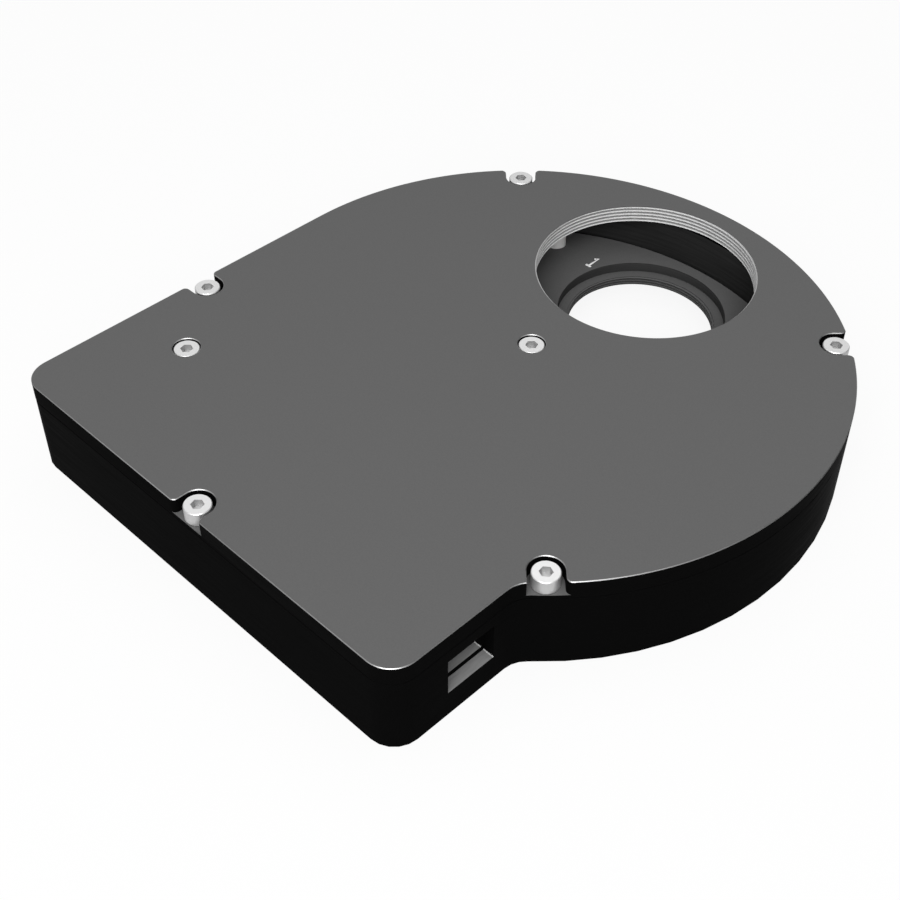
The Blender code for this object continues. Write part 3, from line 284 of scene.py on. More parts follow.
def vary(tree, shader, noise, socket, low, high):
    """Drives a socket from a noise, between two numbers or two hex colours."""
    if isinstance(low, str):
        ramp = add(tree, "ShaderNodeValToRGB", Fac=noise)
        ramp.color_ramp.elements[0].position = NOISE_LOW
        ramp.color_ramp.elements[1].position = NOISE_HIGH
        ramp.color_ramp.elements[0].color = linear(low)
        ramp.color_ramp.elements[1].color = linear(high)
        tree.links.new(ramp.outputs["Color"], shader.inputs[socket])
        return
    spread = remap(tree, noise, NOISE_LOW, NOISE_HIGH, low, high)
    tree.links.new(spread.outputs["Result"], shader.inputs[socket])


# Finishes
def lit_blasted_anodised_face():
    """Anodised aluminium, blasted before it was dyed, with the finest grain. Its even matt grey is painted
    light: the level faces of a black finish, lightened as if lit from above.
    """
    made, tree, shader = surface("lit_blasted_anodised_face", "#676767", roughness=0.62, specular=0.05)
    # Blast marks are about 0.05 mm across. They are drawn at 0.25 mm, so that they show.
    marks = grain(tree, shader, size=0.25, depth=0.004)
    vary(tree, shader, marks, "Base Color", "#656565", "#696969")
    return made


def anodised_wheel_face():
    """Anodised aluminium in a darker dye: the wheel's flat faces."""
    made, tree, shader = surface("anodised_wheel_face", "#5c5c5c", roughness=0.6, specular=0.05)
    # The same blast marks, drawn larger for the same reason.
    marks = grain(tree, shader, size=0.25, depth=0.004)
    vary(tree, shader, marks, "Base Color", "#5a5a5a", "#5e5e5e")
    return made


def shaded_bored_wheel_wall():
    """The wheel's dye on the upright walls of its pockets, which the mill left smoother. Their darker grey is
    painted shade.
    """
    made, tree, shader = surface("shaded_bored_wheel_wall", "#3a3a3a", roughness=0.5, specular=0.05)
    # The mill's feed leaves a line every 0.3 mm or so up the wall.
    lines = grain(tree, shader, size=2.0, depth=0.004, stretch=(0.15, 0.15, 7.0), detail=1.0)
    vary(tree, shader, lines, "Base Color", "#363636", "#3e3e3e")
    return made


def milled_black_wall():
    """Black anodised aluminium off the side of an end mill: near black, with faint level feed lines."""
    made, tree, shader = surface("milled_black_wall", "#090909", roughness=0.45, specular=0.003)
    # The mill's feed leaves a line every 0.3 mm or so up the wall.
    lines = grain(tree, shader, size=2.0, depth=0.01, stretch=(0.15, 0.15, 7.0), detail=1.0)
    vary(tree, shader, lines, "Roughness", 0.38, 0.52)
    return made


def lit_chamber_wall():
    """The wheel chamber's walls, which show inside the port: the black anodising in a lighter grey, painted
    light in the chamber's shade.
    """
    made, tree, shader = surface("lit_chamber_wall", "#2a2a2a", roughness=0.6, specular=0.02)
    # The coarser feed leaves a line every 0.4 mm.
    lines = grain(tree, shader, size=2.0, depth=0.01, stretch=(0.15, 0.15, 5.0), detail=1.0)
    vary(tree, shader, lines, "Base Color", "#262626", "#2e2e2e")
    return made


def cut_edge():
    """Bare aluminium, where the edge was chamfered after anodising: a bright thin line."""
    made, tree, shader = surface("cut_edge", "#acacac", roughness=0.35, metallic=1.0)
    # The cutter's marks are less than 0.1 mm long. They are drawn at 0.4 mm, so that they show.
    grain(tree, shader, size=0.4, depth=0.003)
    return made


def shaded_thread_flank():
    """Bare aluminium on the sides of a thread, torn a little by the tool. Its grey, darker than the crests, is
    painted shade in the grooves.
    """
    made, tree, shader = surface("shaded_thread_flank", "#b0b0b0", roughness=0.45, metallic=0.5)
    # The tool's chatter is about 0.1 mm long. It is drawn at 0.6 mm, so that it shows.
    chatter = grain(tree, shader, size=0.6, depth=0.0004)
    vary(tree, shader, chatter, "Roughness", 0.4, 0.5)
    return made


def lit_thread_crest():
    """The flat crests and roots of a thread. Their near white is painted light: a lit copy of the thread's
    bare aluminium.
    """
    made, tree, shader = surface("lit_thread_crest", "#fafafa", roughness=0.4, metallic=0.05)
    # The same chatter, drawn larger for the same reason.
    chatter = grain(tree, shader, size=0.6, depth=0.0004)
    vary(tree, shader, chatter, "Base Color", "#f6f6f6", "#fcfcfc")
    return made


def turned_metal(name, colour, roughness, metallic=1.0):
    """A metal off the lathe or the grinder: smooth, with the faint marks of a fine feed."""
    made, tree, shader = surface(name, colour, roughness, metallic=metallic)
    # A fine feed is about 0.12 mm a turn.
    marks = grain(tree, shader, size=0.12, depth=0.0015, detail=2.0)
    vary(tree, shader, marks, "Roughness", roughness * 0.85, roughness * 1.2)
    return made


def moulded(name, colour, roughness, grit=0.15):
    """A moulded plastic or rubber, or dried ink, with a fine soft skin."""
    made, tree, shader = surface(name, colour, roughness)
    # A mould's grit is about 0.05 mm. It is drawn larger, so that it shows.
    marks = grain(tree, shader, size=grit, depth=0.006)
    vary(tree, shader, marks, "Roughness", roughness * 0.9, min(1.0, roughness * 1.1))
    return made


def solder_mask():
    """A glass-epoxy board under green solder mask, with the weave just showing."""
    made, tree, shader = surface("solder_mask", "#14683a", roughness=0.32)
    # The glass cloth has a thread every 0.6 mm.
    weave = grain(tree, shader, size=0.6, depth=0.01, detail=1.0)
    vary(tree, shader, weave, "Base Color", "#105a32", "#187442")
    return made


def number_paint():
    """White epoxy ink, which the numbers are printed in."""
    return moulded("number_paint", "#fafafa", roughness=0.5)


def highlit_milled_fillet():
    """The small round that the end mill left, light grey and soft like a skin of grit: a painted highlight
    along the back of each floor.
    """
    return moulded("highlit_milled_fillet", "#b8b8b8", roughness=0.5, grit=0.1)


def lit_recess_floor():
    """The floors of the USB opening in a light satin grey: painted light, which lifts them out of the shade
    under the opening's top.
    """
    made, tree, shader = surface("lit_recess_floor", "#8a8a8a", roughness=0.6, specular=0.1)
    # The small end mill leaves rows about 0.4 mm apart.
    rows = grain(tree, shader, size=1.0, depth=0.004, stretch=(2.5, 0.4, 1.0), detail=1.0)
    vary(tree, shader, rows, "Base Color", "#868686", "#8e8e8e")
    return made


FACE = lit_blasted_anodised_face()
WHEEL_FACE = anodised_wheel_face()
WHEEL_WALL = shaded_bored_wheel_wall()
WALL = milled_black_wall()
EDGE = cut_edge()
THREAD = shaded_thread_flank()
CREST = lit_thread_crest()
CHAMBER = lit_chamber_wall()
STAINLESS = turned_metal("turned_stainless", "#e2e2e2", roughness=0.3)
SCREW_STEEL = turned_metal("satin_screw_steel", "#dedede", roughness=0.35, metallic=0.7)
# The socket's steel is darker than the head's: painted shade in the hexagon. Its rougher finish is the
# broach's.
SOCKET_STEEL = turned_metal("broached_and_shaded_socket_steel", "#c0c0c0", roughness=0.4, metallic=0.6)
BEARING = turned_metal("ground_bearing_steel", "#d6d8da", roughness=0.18)
NICKEL = turned_metal("satin_nickel", "#f2f0ec", roughness=0.45)
PIN_PLATE = turned_metal("matt_plated_pin", "#fbfaf8", roughness=0.55, metallic=0.1)
BRASS = turned_metal("turned_brass", "#d8b46c", roughness=0.28)
PLAIN = turned_metal("turned_aluminium", "#dcdde0", roughness=0.3)
NYLON = moulded("moulded_nylon", "#ece8de", roughness=0.5)
RUBBER = moulded("nitrile_rubber", "#1c1c1c", roughness=0.85)
EPOXY = moulded("moulded_epoxy", "#1a1a1c", roughness=0.55)
CREAM = moulded("cream_nylon", "#e6dfca", roughness=0.5)
RED_SHEATH = moulded("red_pvc", "#b81c1c", roughness=0.45)
BLACK_SHEATH = moulded("black_pvc", "#1a1a1a", roughness=0.45)
MASK = solder_mask()
PAINT = number_paint()
RECESS = lit_recess_floor()
FILLET = highlit_milled_fillet()


# Mesh tools
def polar(radius, degrees):
    """The point at this radius and angle from the origin."""
    angle = math.radians(degrees)
    return (radius * math.cos(angle), radius * math.sin(angle))


def moved(point, distance, degrees):
    """A point moved by a distance in a direction."""
    x, y = polar(distance, degrees)
    return (point[0] + x, point[1] + y)


def arc(centre, radius, start, end):
    """Points along an arc: at least five, and close enough together that no corner shows."""
    step = 2 * math.degrees(math.acos(1 - min(0.5, CHORD_ERROR / radius)))
    count = max(4, math.ceil(abs(end - start) / step))
    return [moved(centre, radius, start + (end - start) * i / count) for i in range(count + 1)]


def node_centre(name):
    """A CAD solid's middle in plan."""
    low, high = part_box(name)
    return ((low.x + high.x) / 2, (low.y + high.y) / 2)


def seat_centre(number):
    """A filter seat's middle in plan, counted from 0 at the port."""
    return polar(FILTER_DISTANCE, 90 + 360 / FILTER_COUNT * number)


def finish_mesh(obj, sharp=SHARP_DEGREES):
    """Rounds the shading, except over edges sharper than this many degrees."""
    obj.data.shade_smooth()
    obj.data.set_sharp_from_angle(angle=math.radians(sharp))
    return obj


def new_piece(name, mesh, *materials):
    """A new object in the scene, with this mesh and these materials."""
    piece = bpy.data.objects.new(name, mesh)
    bpy.context.scene.collection.objects.link(piece)
    for material in materials:
        mesh.materials.append(material)
    return piece


def piece_of(name, shape, *materials):
    """A new object from a finished bmesh, with its faces turned outward."""
    bmesh.ops.recalc_face_normals(shape, faces=shape.faces)
    mesh = bpy.data.meshes.new(name)
    shape.to_mesh(mesh)
    shape.free()
    return new_piece(name, mesh, *materials)


def plate(name, outline, bottom, top):
    """A flat plate from a closed outline."""
    shape = bmesh.new()
    lower = [shape.verts.new((x, y, bottom)) for x, y in outline]
    shape.faces.new(lower)
    grown = bmesh.ops.extrude_face_region(shape, geom=shape.faces[:])
    upper = [item for item in grown["geom"] if isinstance(item, bmesh.types.BMVert)]
    bmesh.ops.translate(shape, verts=upper, vec=(0.0, 0.0, top - bottom))
    return piece_of(name, shape)


def turned(name, profile, sides, at=(0.0, 0.0)):
    """A solid of revolution. Its profile is in radius and height, from the axis down the outside and back."""
    shape = bmesh.new()
    x, y = at
    verts = [shape.verts.new((x + r, y, z)) for r, z in profile]
    edges = [shape.edges.new(pair) for pair in zip(verts, verts[1:] + verts[:1])]
    bmesh.ops.spin(
        shape,
        geom=verts + edges,
        cent=(x, y, 0.0),
        axis=(0.0, 0.0, 1.0),
        angle=2 * math.pi,
        steps=sides,
        use_merge=True,
    )
    bmesh.ops.remove_doubles(shape, verts=shape.verts, dist=SPIN_JOIN)
    slivers = [face for face in shape.faces if face.calc_area() < SLIVER_AREA]
    bmesh.ops.delete(shape, geom=slivers, context="FACES")
    return piece_of(name, shape)


def rod(name, radius, bottom, top, at, sides):
    """A plain round rod."""
    profile = [(0.0, top), (radius, top), (radius, bottom), (0.0, bottom)]
    return turned(name, profile, sides, at)


def carve(target, cutters):
    """Cuts solids out of a piece for good, and removes them."""
    for cutter in cutters:
        step = target.modifiers.new("cut", "BOOLEAN")
        step.operation = "DIFFERENCE"
        step.object = cutter
    bpy.context.view_layer.update()
    graph = bpy.context.evaluated_depsgraph_get()
    mesh = bpy.data.meshes.new_from_object(target.evaluated_get(graph))
    target.modifiers.clear()
    target.data = mesh
    for cutter in cutters:
        bpy.data.objects.remove(cutter)


def chamfer_level(target, level, width):
    """Chamfers the edges where a flat face at this level meets an upright one, but for the port's."""
    port = Vector((0.0, FILTER_DISTANCE))
    shape = bmesh.new()
    shape.from_mesh(target.data)
    bmesh.ops.remove_doubles(shape, verts=shape.verts, dist=CUT_JOIN)
    rim = [
        edge
        for edge in shape.edges
        if all(abs(vert.co.z - level) < SAME_POINT for vert in edge.verts)
        and len(edge.link_faces) == 2
        and edge.calc_face_angle(0.0) > CHAMFERED_TURN
        and (edge.verts[0].co.xy - port).length > PORT_RADIUS + PORT_THREAD_DEPTH + FIT_GAP
    ]
    bmesh.ops.bevel(shape, geom=rim, offset=width, segments=1, affect="EDGES", clamp_overlap=False)
    shape.to_mesh(target.data)
    shape.free()


def paint_by_slope(obj, level, slanted, upright, downward=None):
    """Gives level, slanted and upright faces their own materials. A lighter level finish and a darker upright
    one are painted light from above and painted shade on the walls of one finish.
    """
    mesh = obj.data
    mesh.materials.clear()
    for material in (level, slanted, upright, downward or upright):
        mesh.materials.append(material)
    for face in mesh.polygons:
        up = face.normal.z
        if up > LEVEL:
            face.material_index = LEVEL_FACE
        elif up > SLANT:
            face.material_index = SLANTED_FACE
        elif up < -LEVEL:
            face.material_index = DOWNWARD_FACE
        else:
            face.material_index = UPRIGHT_FACE


# Pieces of the housing
def housing_outline():
    """The housing in plan: a round end that runs into a box, with a fillet where the right side meets it."""
    fillet_x = RIGHT_X + CORNER_RADIUS
    fillet_y = -math.sqrt((HOUSING_RADIUS + CORNER_RADIUS) ** 2 - fillet_x**2)
    meeting = math.degrees(math.atan2(fillet_y, fillet_x))
    left = CORNER_RADIUS - HOUSING_RADIUS
    right = RIGHT_X - CORNER_RADIUS
    front = FRONT_Y + CORNER_RADIUS
    outline = arc((left, front), CORNER_RADIUS, 180, 270)
    outline += arc((right, front), CORNER_RADIUS, 270, 360)
    outline += arc((fillet_x, fillet_y), CORNER_RADIUS, 180, meeting + 180)
    outline += arc((0.0, 0.0), HOUSING_RADIUS, meeting, 180)[1:]
    return outline


def notch_cutter(spot, outward):
    """The solid that cuts a notch: round behind the screw, with a flared mouth at the cover's edge."""
    reach = NOTCH_RADIUS + NOTCH_FLARE
    drop = HOUSING_RADIUS - math.sqrt(HOUSING_RADIUS**2 - reach**2)
    if outward in STRAIGHT_EDGES:
        drop = 0.0
    edge = SCREW_INSET - drop + NOTCH_OVERSHOOT
    outside = edge + NOTCH_RADIUS
    left = arc((-reach, edge - NOTCH_FLARE), NOTCH_FLARE, 90, 0)
    right = [(-x, y) for x, y in reversed(left)]
    if outward == EDGE_BESIDE_FILLET:
        # The housing's own fillet takes the place of the flare on this side.
        right = [(NOTCH_RADIUS, edge)]
    points = arc((0.0, 0.0), NOTCH_RADIUS, 180, 360)
    points += [*right, (right[-1][0], outside), (-reach, outside), *left]
    turn = math.radians(outward - 90)
    cos, sin = math.cos(turn), math.sin(turn)
    outline = [(spot[0] + x * cos - y * sin, spot[1] + x * sin + y * cos) for x, y in points]
    return plate("notch", outline, COVER_TOP - HEAD_SINK, COVER_TOP + HEAD_SINK)


def cover_plate():
    """The cover, cut and chamfered all over, in place of the plain solid."""
    cover = plate("cover_plate", housing_outline(), COVER_BOTTOM, COVER_TOP)
    below, above = COVER_BOTTOM - HEAD_SINK, COVER_TOP + HEAD_SINK
    root, lip = PORT_RADIUS + PORT_THREAD_DEPTH, COVER_TOP - PORT_LIP
    mouth = PORT_RADIUS + PORT_MOUTH
    bore = [(0.0, above), (mouth, above), (mouth, lip), (root, lip), (root, below), (0.0, below)]
    cutters = [turned("port", bore, PORT_SIDES, (0.0, FILTER_DISTANCE))]
    for name, outward in COVER_SCREWS.items():
        cutters.append(notch_cutter(node_centre(name), outward))
    for name in SUNK_SCREWS:
        floor = COVER_TOP - HEAD_SINK
        cutters.append(rod("pocket", HEAD_POCKET_RADIUS, floor, above, node_centre(name), HEAD_SIDES))
    for name in (*COVER_SCREWS, *SUNK_SCREWS):
        cutters.append(rod("hole", SHANK_HOLE_RADIUS, below, above, node_centre(name), HOLE_SIDES))
    carve(cover, cutters)
    chamfer_level(cover, COVER_TOP, EDGE_CHAMFER)
    chamfer_level(cover, COVER_BOTTOM, FIT_GAP)
    finish_mesh(cover)
    # The level faces' lighter grey is painted light from above, and the black walls stay in shade.
    paint_by_slope(cover, FACE, EDGE, WALL)
    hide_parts("top_cover")
    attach(cover, "housing")


def socket_screw(node):
    """A socket head screw: turned head with a chamfer and a true hexagon."""
    spot = node_centre(node)
    low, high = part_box(node)
    top, under = high.z, high.z - HEAD_HEIGHT
    profile = [
        (0.0, top),
        (HEAD_RADIUS - HEAD_CHAMFER, top),
        (HEAD_RADIUS, top - HEAD_CHAMFER),
        (HEAD_RADIUS, under),
        (SHANK_RADIUS, under),
        (SHANK_RADIUS, low.z),
        (0.0, low.z),
    ]
    screw = turned(f"socket_{node}", profile, HEAD_SIDES, spot)
    corner = SOCKET_ACROSS_FLATS / math.sqrt(3)
    hexagon = [moved(spot, corner, SOCKET_TURNS[node] + 60 * i) for i in range(6)]
    carve(screw, [plate("hexagon", hexagon, top - SOCKET_DEPTH, top + SOCKET_DEPTH)])
    screw.data.materials.append(SCREW_STEEL)
    screw.data.materials.append(SOCKET_STEEL)
    # Faces inside the hexagon get the darker steel: painted shade.
    for face in screw.data.polygons:
        inside = (face.center.xy - Vector(spot)).length < corner + SOCKET_MARGIN
        face.material_index = int(inside and under < face.center.z < top - SOCKET_MARGIN)
    finish_mesh(screw)
    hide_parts(node)
    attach(screw, "housing")


# Threads
def ridge_height(phase):
    """How far the ridge stands out at a share of its pitch: 1 at its crest and 0 at its root."""
    return min(1.0, max(0.0, 1.0 - (abs(phase - 0.5) - RIDGE_HALF_CREST) / RIDGE_FLANK))


def sleeve_section(radius, depth, pitch, bottom, top, rise):
    """One side of a thread sleeve, cut upright, in radius and height. Its ridges start this many turns up."""
    section = [(radius + SLEEVE_WALL, bottom)]
    for turn in range(-2, math.ceil((top - bottom) / pitch) + 1):
        for place, height in RIDGE_CORNERS:
            z = bottom + (turn + place + rise) * pitch
            if not bottom < z < top:
                z = min(max(z, bottom), top)
                height = ridge_height(((z - bottom) / pitch - rise) % 1.0)
            section.append((radius - depth * height, z))
    section.append((radius + SLEEVE_WALL, top))
    return section


def thread_sleeve(name, centre, radius, depth, pitch, bottom, top, sides, crests):
    """A thin sleeve that carries an internal thread: a helical ridge inside a plain tube."""
    shape = bmesh.new()
    columns = []
    for step in range(THREAD_SIDES + 1):
        section = sleeve_section(radius, depth, pitch, bottom, top, THREAD_START + step / THREAD_SIDES)
        degrees = 360 * step / THREAD_SIDES
        columns.append([shape.verts.new((*moved(centre, r, degrees), z)) for r, z in section])
    for left, right in zip(columns, columns[1:]):
        for i in range(len(left)):
            j = (i + 1) % len(left)
            shape.faces.new((left[i], right[i], right[j], left[j]))
    bmesh.ops.remove_doubles(shape, verts=shape.verts, dist=SAME_POINT)
    sleeve = piece_of(name, shape, sides, crests)
    for face in sleeve.data.polygons:
        # The flanks and the crests get the two given copies of one metal, one lit and one shaded: painted
        # light and shade.
        face.material_index = int(abs(face.normal.z) < STEEP)
    return finish_mesh(sleeve, SMALL_SHARP_DEGREES)


def port_threads():
    """The bright M42 threads: the cover's down from its face, and the base's inside its plain bore."""
    centre = (0.0, FILTER_DISTANCE)
    full, shallow = PORT_THREAD_DEPTH, PORT_THREAD_DEPTH / 2
    threads = {
        "cover_port_thread": (PORT_RADIUS + full, full, COVER_BOTTOM + FIT_GAP, COVER_TOP - PORT_LIP),
        "base_port_thread": (PORT_RADIUS - BASE_THREAD_INSET, shallow, FIT_GAP, FLOOR_TOP - FIT_GAP),
    }
    for name, (radius, depth, bottom, top) in threads.items():
        sleeve = thread_sleeve(name, centre, radius, depth, PORT_PITCH, bottom, top, THREAD, CREST)
        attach(sleeve, "housing")


def seat_threads():
    """The fine thread of each filter seat, in the wheel's own dark finish."""
    for number in range(FILTER_COUNT):
        # The seat threads' crests and roots take the darker wall copy of the wheel's finish: painted shade.
        sleeve = thread_sleeve(
            f"seat_thread_{number + 1}",
            seat_centre(number),
            SEAT_RADIUS - SEAT_THREAD_INSET,
            SEAT_THREAD_DEPTH,
            SEAT_PITCH,
            WHEEL_BOTTOM + FIT_GAP,
            WHEEL_TOP - POCKET_DEPTH - FIT_GAP,
            WHEEL_FACE,
            WHEEL_WALL,
        )
        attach(sleeve, "wheel")


# Pieces of the wheel
def wheel_disc():
    """The wheel with round pockets and a chamfered rim, in place of the plain solid."""
    edge = EDGE_CHAMFER
    clip_low, clip_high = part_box("hub_circlip")
    groove_low, groove_high = clip_low.z - CLIP_SEAT_GAP, clip_high.z + FIT_GAP
    profile = [
        (BEARING_SEAT_RADIUS, HUB_TOP),
        (HUB_RADIUS - edge, HUB_TOP),
        (HUB_RADIUS, HUB_TOP - edge),
        (HUB_RADIUS, WHEEL_TOP),
        (WHEEL_RADIUS - edge, WHEEL_TOP),
        (WHEEL_RADIUS, WHEEL_TOP - edge),
        (WHEEL_RADIUS, WHEEL_BOTTOM + edge),
        (WHEEL_RADIUS - edge, WHEEL_BOTTOM),
        (BEARING_LIP_RADIUS, WHEEL_BOTTOM),
        (BEARING_LIP_RADIUS, WHEEL_BOTTOM + BEARING_LIP_HEIGHT),
        (BEARING_SEAT_RADIUS, WHEEL_BOTTOM + BEARING_LIP_HEIGHT),
        (BEARING_SEAT_RADIUS, groove_low),
        (CLIP_GROOVE_RADIUS, groove_low),
        (CLIP_GROOVE_RADIUS, groove_high),
        (BEARING_SEAT_RADIUS, groove_high),
    ]
    wheel = turned("wheel_disc", profile, WHEEL_SIDES)
    above, below = HUB_TOP + edge, WHEEL_BOTTOM - edge
    stepped = [
        (0.0, above),
        (POCKET_RADIUS, above),
        (POCKET_RADIUS, WHEEL_TOP - POCKET_DEPTH),
        (SEAT_RADIUS, WHEEL_TOP - POCKET_DEPTH),
        (SEAT_RADIUS, below),
        (0.0, below),
    ]
    cutters = [turned("seat", stepped, THREAD_SIDES, seat_centre(number)) for number in range(FILTER_COUNT)]
    for number in range(FILTER_COUNT):
        magnet = f"index_magnet_{number + 1}"
        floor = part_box(magnet)[0].z - MAGNET_HOLE_GAP
        cutters.append(rod("magnet", MAGNET_HOLE_RADIUS, floor, HUB_TOP, node_centre(magnet), PIN_SIDES))
    carve(wheel, cutters)
    finish_mesh(wheel)
    # The pockets' walls get a darker copy of the wheel's finish: painted shade.
    paint_by_slope(wheel, WHEEL_FACE, WHEEL_FACE, WHEEL_WALL, WHEEL_FACE)
    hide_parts("filter_wheel")
    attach(wheel, "wheel")


def index_pins():
    """The magnets, as bright plated pins with a chamfered end."""
    for number in range(FILTER_COUNT):
        node = f"index_magnet_{number + 1}"
        low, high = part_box(node)
        radius = (high.x - low.x) / 2
        profile = [
            (0.0, high.z),
            (radius - PIN_CHAMFER, high.z),
            (radius, high.z - PIN_CHAMFER),
            (radius, low.z),
            (0.0, low.z),
        ]
        pin = turned(f"plated_{node}", profile, PIN_SIDES, node_centre(node))
        pin.data.materials.append(PIN_PLATE)
        finish_mesh(pin)
        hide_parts(node)
        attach(pin, "wheel")


# Numbers
def bend(centre, radius, start, end):
    """Points along an arc of a digit, in shares of its height."""
    steps = DIGIT_BEND_STEPS
    return [moved(centre, radius, start + (end - start) * i / steps) for i in range(steps + 1)]


def digit_strokes():
    """The five digits as pen strokes, in shares of their height from the middle."""
    one = [[(-0.2, 0.32), (0.0, 0.5), (0.0, -0.5)], [(-0.2, -0.5), (0.2, -0.5)]]
    two = [bend((0.0, 0.23), 0.27, 170, -35) + [(-0.28, -0.5), (0.28, -0.5)]]
    three = [bend((0.0, 0.26), 0.24, 150, -90), bend((0.0, -0.24), 0.26, 90, -150)]
    four = [[(0.14, -0.5), (0.14, 0.5), (-0.28, -0.18), (0.3, -0.18)]]
    five = [[(0.24, 0.5), (-0.2, 0.5), (-0.24, 0.06)] + bend((-0.02, -0.2), 0.3, 130, -140)]
    return [one, two, three, four, five]


def inked_mesh(name, strokes):
    """A digit's mesh: round pen lines along its strokes, pressed nearly flat."""
    pen = bpy.data.curves.new(name, "CURVE")
    pen.dimensions = "3D"
    pen.bevel_depth = INK_WIDTH / 2
    pen.bevel_resolution = 3
    pen.use_fill_caps = True
    for stroke in strokes:
        line = pen.splines.new("POLY")
        line.points.add(len(stroke) - 1)
        for point, (x, y) in zip(line.points, stroke):
            point.co = (x * NUMBER_HEIGHT, y * NUMBER_HEIGHT, 0.0, 1.0)
    drawn = bpy.data.objects.new(name, pen)
    bpy.context.scene.collection.objects.link(drawn)
    bpy.context.view_layer.update()
    graph = bpy.context.evaluated_depsgraph_get()
    mesh = bpy.data.meshes.new_from_object(drawn.evaluated_get(graph))
    bpy.data.objects.remove(drawn)
    for vert in mesh.vertices:
        vert.co.z *= 2 * INK_PROUD / INK_WIDTH
    mesh.materials.clear()
    return mesh


def wheel_numbers():
    """The number of each filter, inked beside its seat."""
    for number, strokes in enumerate(digit_strokes()):
        turn = 360 / FILTER_COUNT * number
        name = f"wheel_number_{number + 1}"
        digit = new_piece(name, inked_mesh(name, strokes), PAINT)
        x, y = polar(NUMBER_RADIUS, 90 + NUMBER_TURN + turn)
        digit.location = (x, y, WHEEL_TOP)
        digit.rotation_euler.z = math.radians(turn)
        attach(digit, "wheel")


# Details of the USB opening
def usb_contacts():
    """The five plated contacts on the socket's tongue."""
    low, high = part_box("usb_tongue")
    left, right = low.x, high.x - FIT_GAP
    for number in range(CONTACT_COUNT):
        y = (low.y + high.y) / 2 + (number - CONTACT_COUNT // 2) * CONTACT_PITCH
        front, back = y - CONTACT_HALF_WIDTH, y + CONTACT_HALF_WIDTH
        outline = [(left, front), (right, front), (right, back), (left, back)]
        name = f"usb_contact_{number + 1}"
        contact = plate(name, outline, high.z - CONTACT_SINK, high.z + CONTACT_PROUD)
        contact.data.materials.append(BRASS)
        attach(contact, "housing")


def fillet_section(y, z):
    """A fillet cut across, in the corner of a wall at y and a floor at z."""
    centre_y, centre_z = y - FILLET_RADIUS, z + FILLET_RADIUS
    section = [(y, z)]
    for i in range(FILLET_STEPS + 1):
        angle = math.radians(90 * i / FILLET_STEPS)
        over, down = FILLET_RADIUS * math.sin(angle), FILLET_RADIUS * math.cos(angle)
        section.append((centre_y + over, centre_z - down))
    return section


def floor_fillets():
    """The fillets that the end mill left at the back end of the two floors of the USB opening."""
    low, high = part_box("usb_shell")
    middle = (low.y + high.y) / 2
    floors = [
        ("outer", RECESS_X, RIGHT_X, middle + RECESS_HALF_WIDTH, RECESS_FLOOR),
        ("inner", high.x + FIT_GAP, RECESS_X, middle + OPENING_HALF_WIDTH, OPENING_FLOOR),
    ]
    for name, start, end, y, z in floors:
        shape = bmesh.new()
        section = fillet_section(y, z)
        rings = [[shape.verts.new((x, *point)) for point in section] for x in (start, end)]
        for i in range(len(section)):
            j = (i + 1) % len(section)
            shape.faces.new((rings[0][i], rings[0][j], rings[1][j], rings[1][i]))
        for ring in rings:
            shape.faces.new(ring)
        # The fillets' light grey is a painted highlight.
        fillet = finish_mesh(piece_of(f"{name}_floor_fillet", shape, FILLET), SMALL_SHARP_DEGREES)
        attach(fillet, "housing")


# Finishes of the solids that stay, apart from the base
CAD_FINISHES = {
    "wheel_axle": STAINLESS,
    "axle_sleeve": BRASS,
    "hub_circlip": BEARING,
    "drive_roller": PLAIN,
    "roller_bush": BRASS,
    "roller_tyre": RUBBER,
    "roller_gear": BRASS,
    "roller_post": STAINLESS,
    "roller_sleeve": STAINLESS,
    "idler_gear": NYLON,
    "idler_pin": STAINLESS,
    "idler_clip": BEARING,
    "motor_case": BEARING,
    "motor_flange": BEARING,
    "motor_shaft": STAINLESS,
    "motor_pinion": BRASS,
    "motor_screw_1": STAINLESS,
    "motor_screw_2": STAINLESS,
    "board_screw_1": STAINLESS,
    "board_screw_2": STAINLESS,
    "control_board": MASK,
    "controller_chip": EPOXY,
    "driver_chip": EPOXY,
    "crystal": NICKEL,
    "hall_sensor": EPOXY,
    "motor_header": CREAM,
    "usb_shell": NICKEL,
    "usb_tongue": EPOXY,
    "motor_lead_red": RED_SHEATH,
    "motor_lead_black": BLACK_SHEATH,
    "lower_bearing_inner_ring": BEARING,
    "lower_bearing_outer_ring": BEARING,
    "lower_bearing_caged_balls": BEARING,
    "upper_bearing_inner_ring": BEARING,
    "upper_bearing_outer_ring": BEARING,
    "upper_bearing_caged_balls": BEARING,
}


def smooth_solid(solid):
    """Shades a solid's rounds smooth. Its triangles come apart from each other, so they are joined first."""
    solid.data.shade_smooth()
    solid.data.attributes.remove(solid.data.attributes["custom_normal"])
    weld = solid.modifiers.new("join", "WELD")
    weld.merge_threshold = SAME_POINT
    split = solid.modifiers.new("keep_edges", "EDGE_SPLIT")
    split.split_angle = math.radians(SHARP_DEGREES)


def dress_solids():
    """Gives the CAD solids that stay in view their finishes and smooth rounds."""
    for name, material in CAD_FINISHES.items():
        solid = NODES[name]
        solid.data.materials.clear()
        solid.data.materials.append(material)
        smooth_solid(solid)


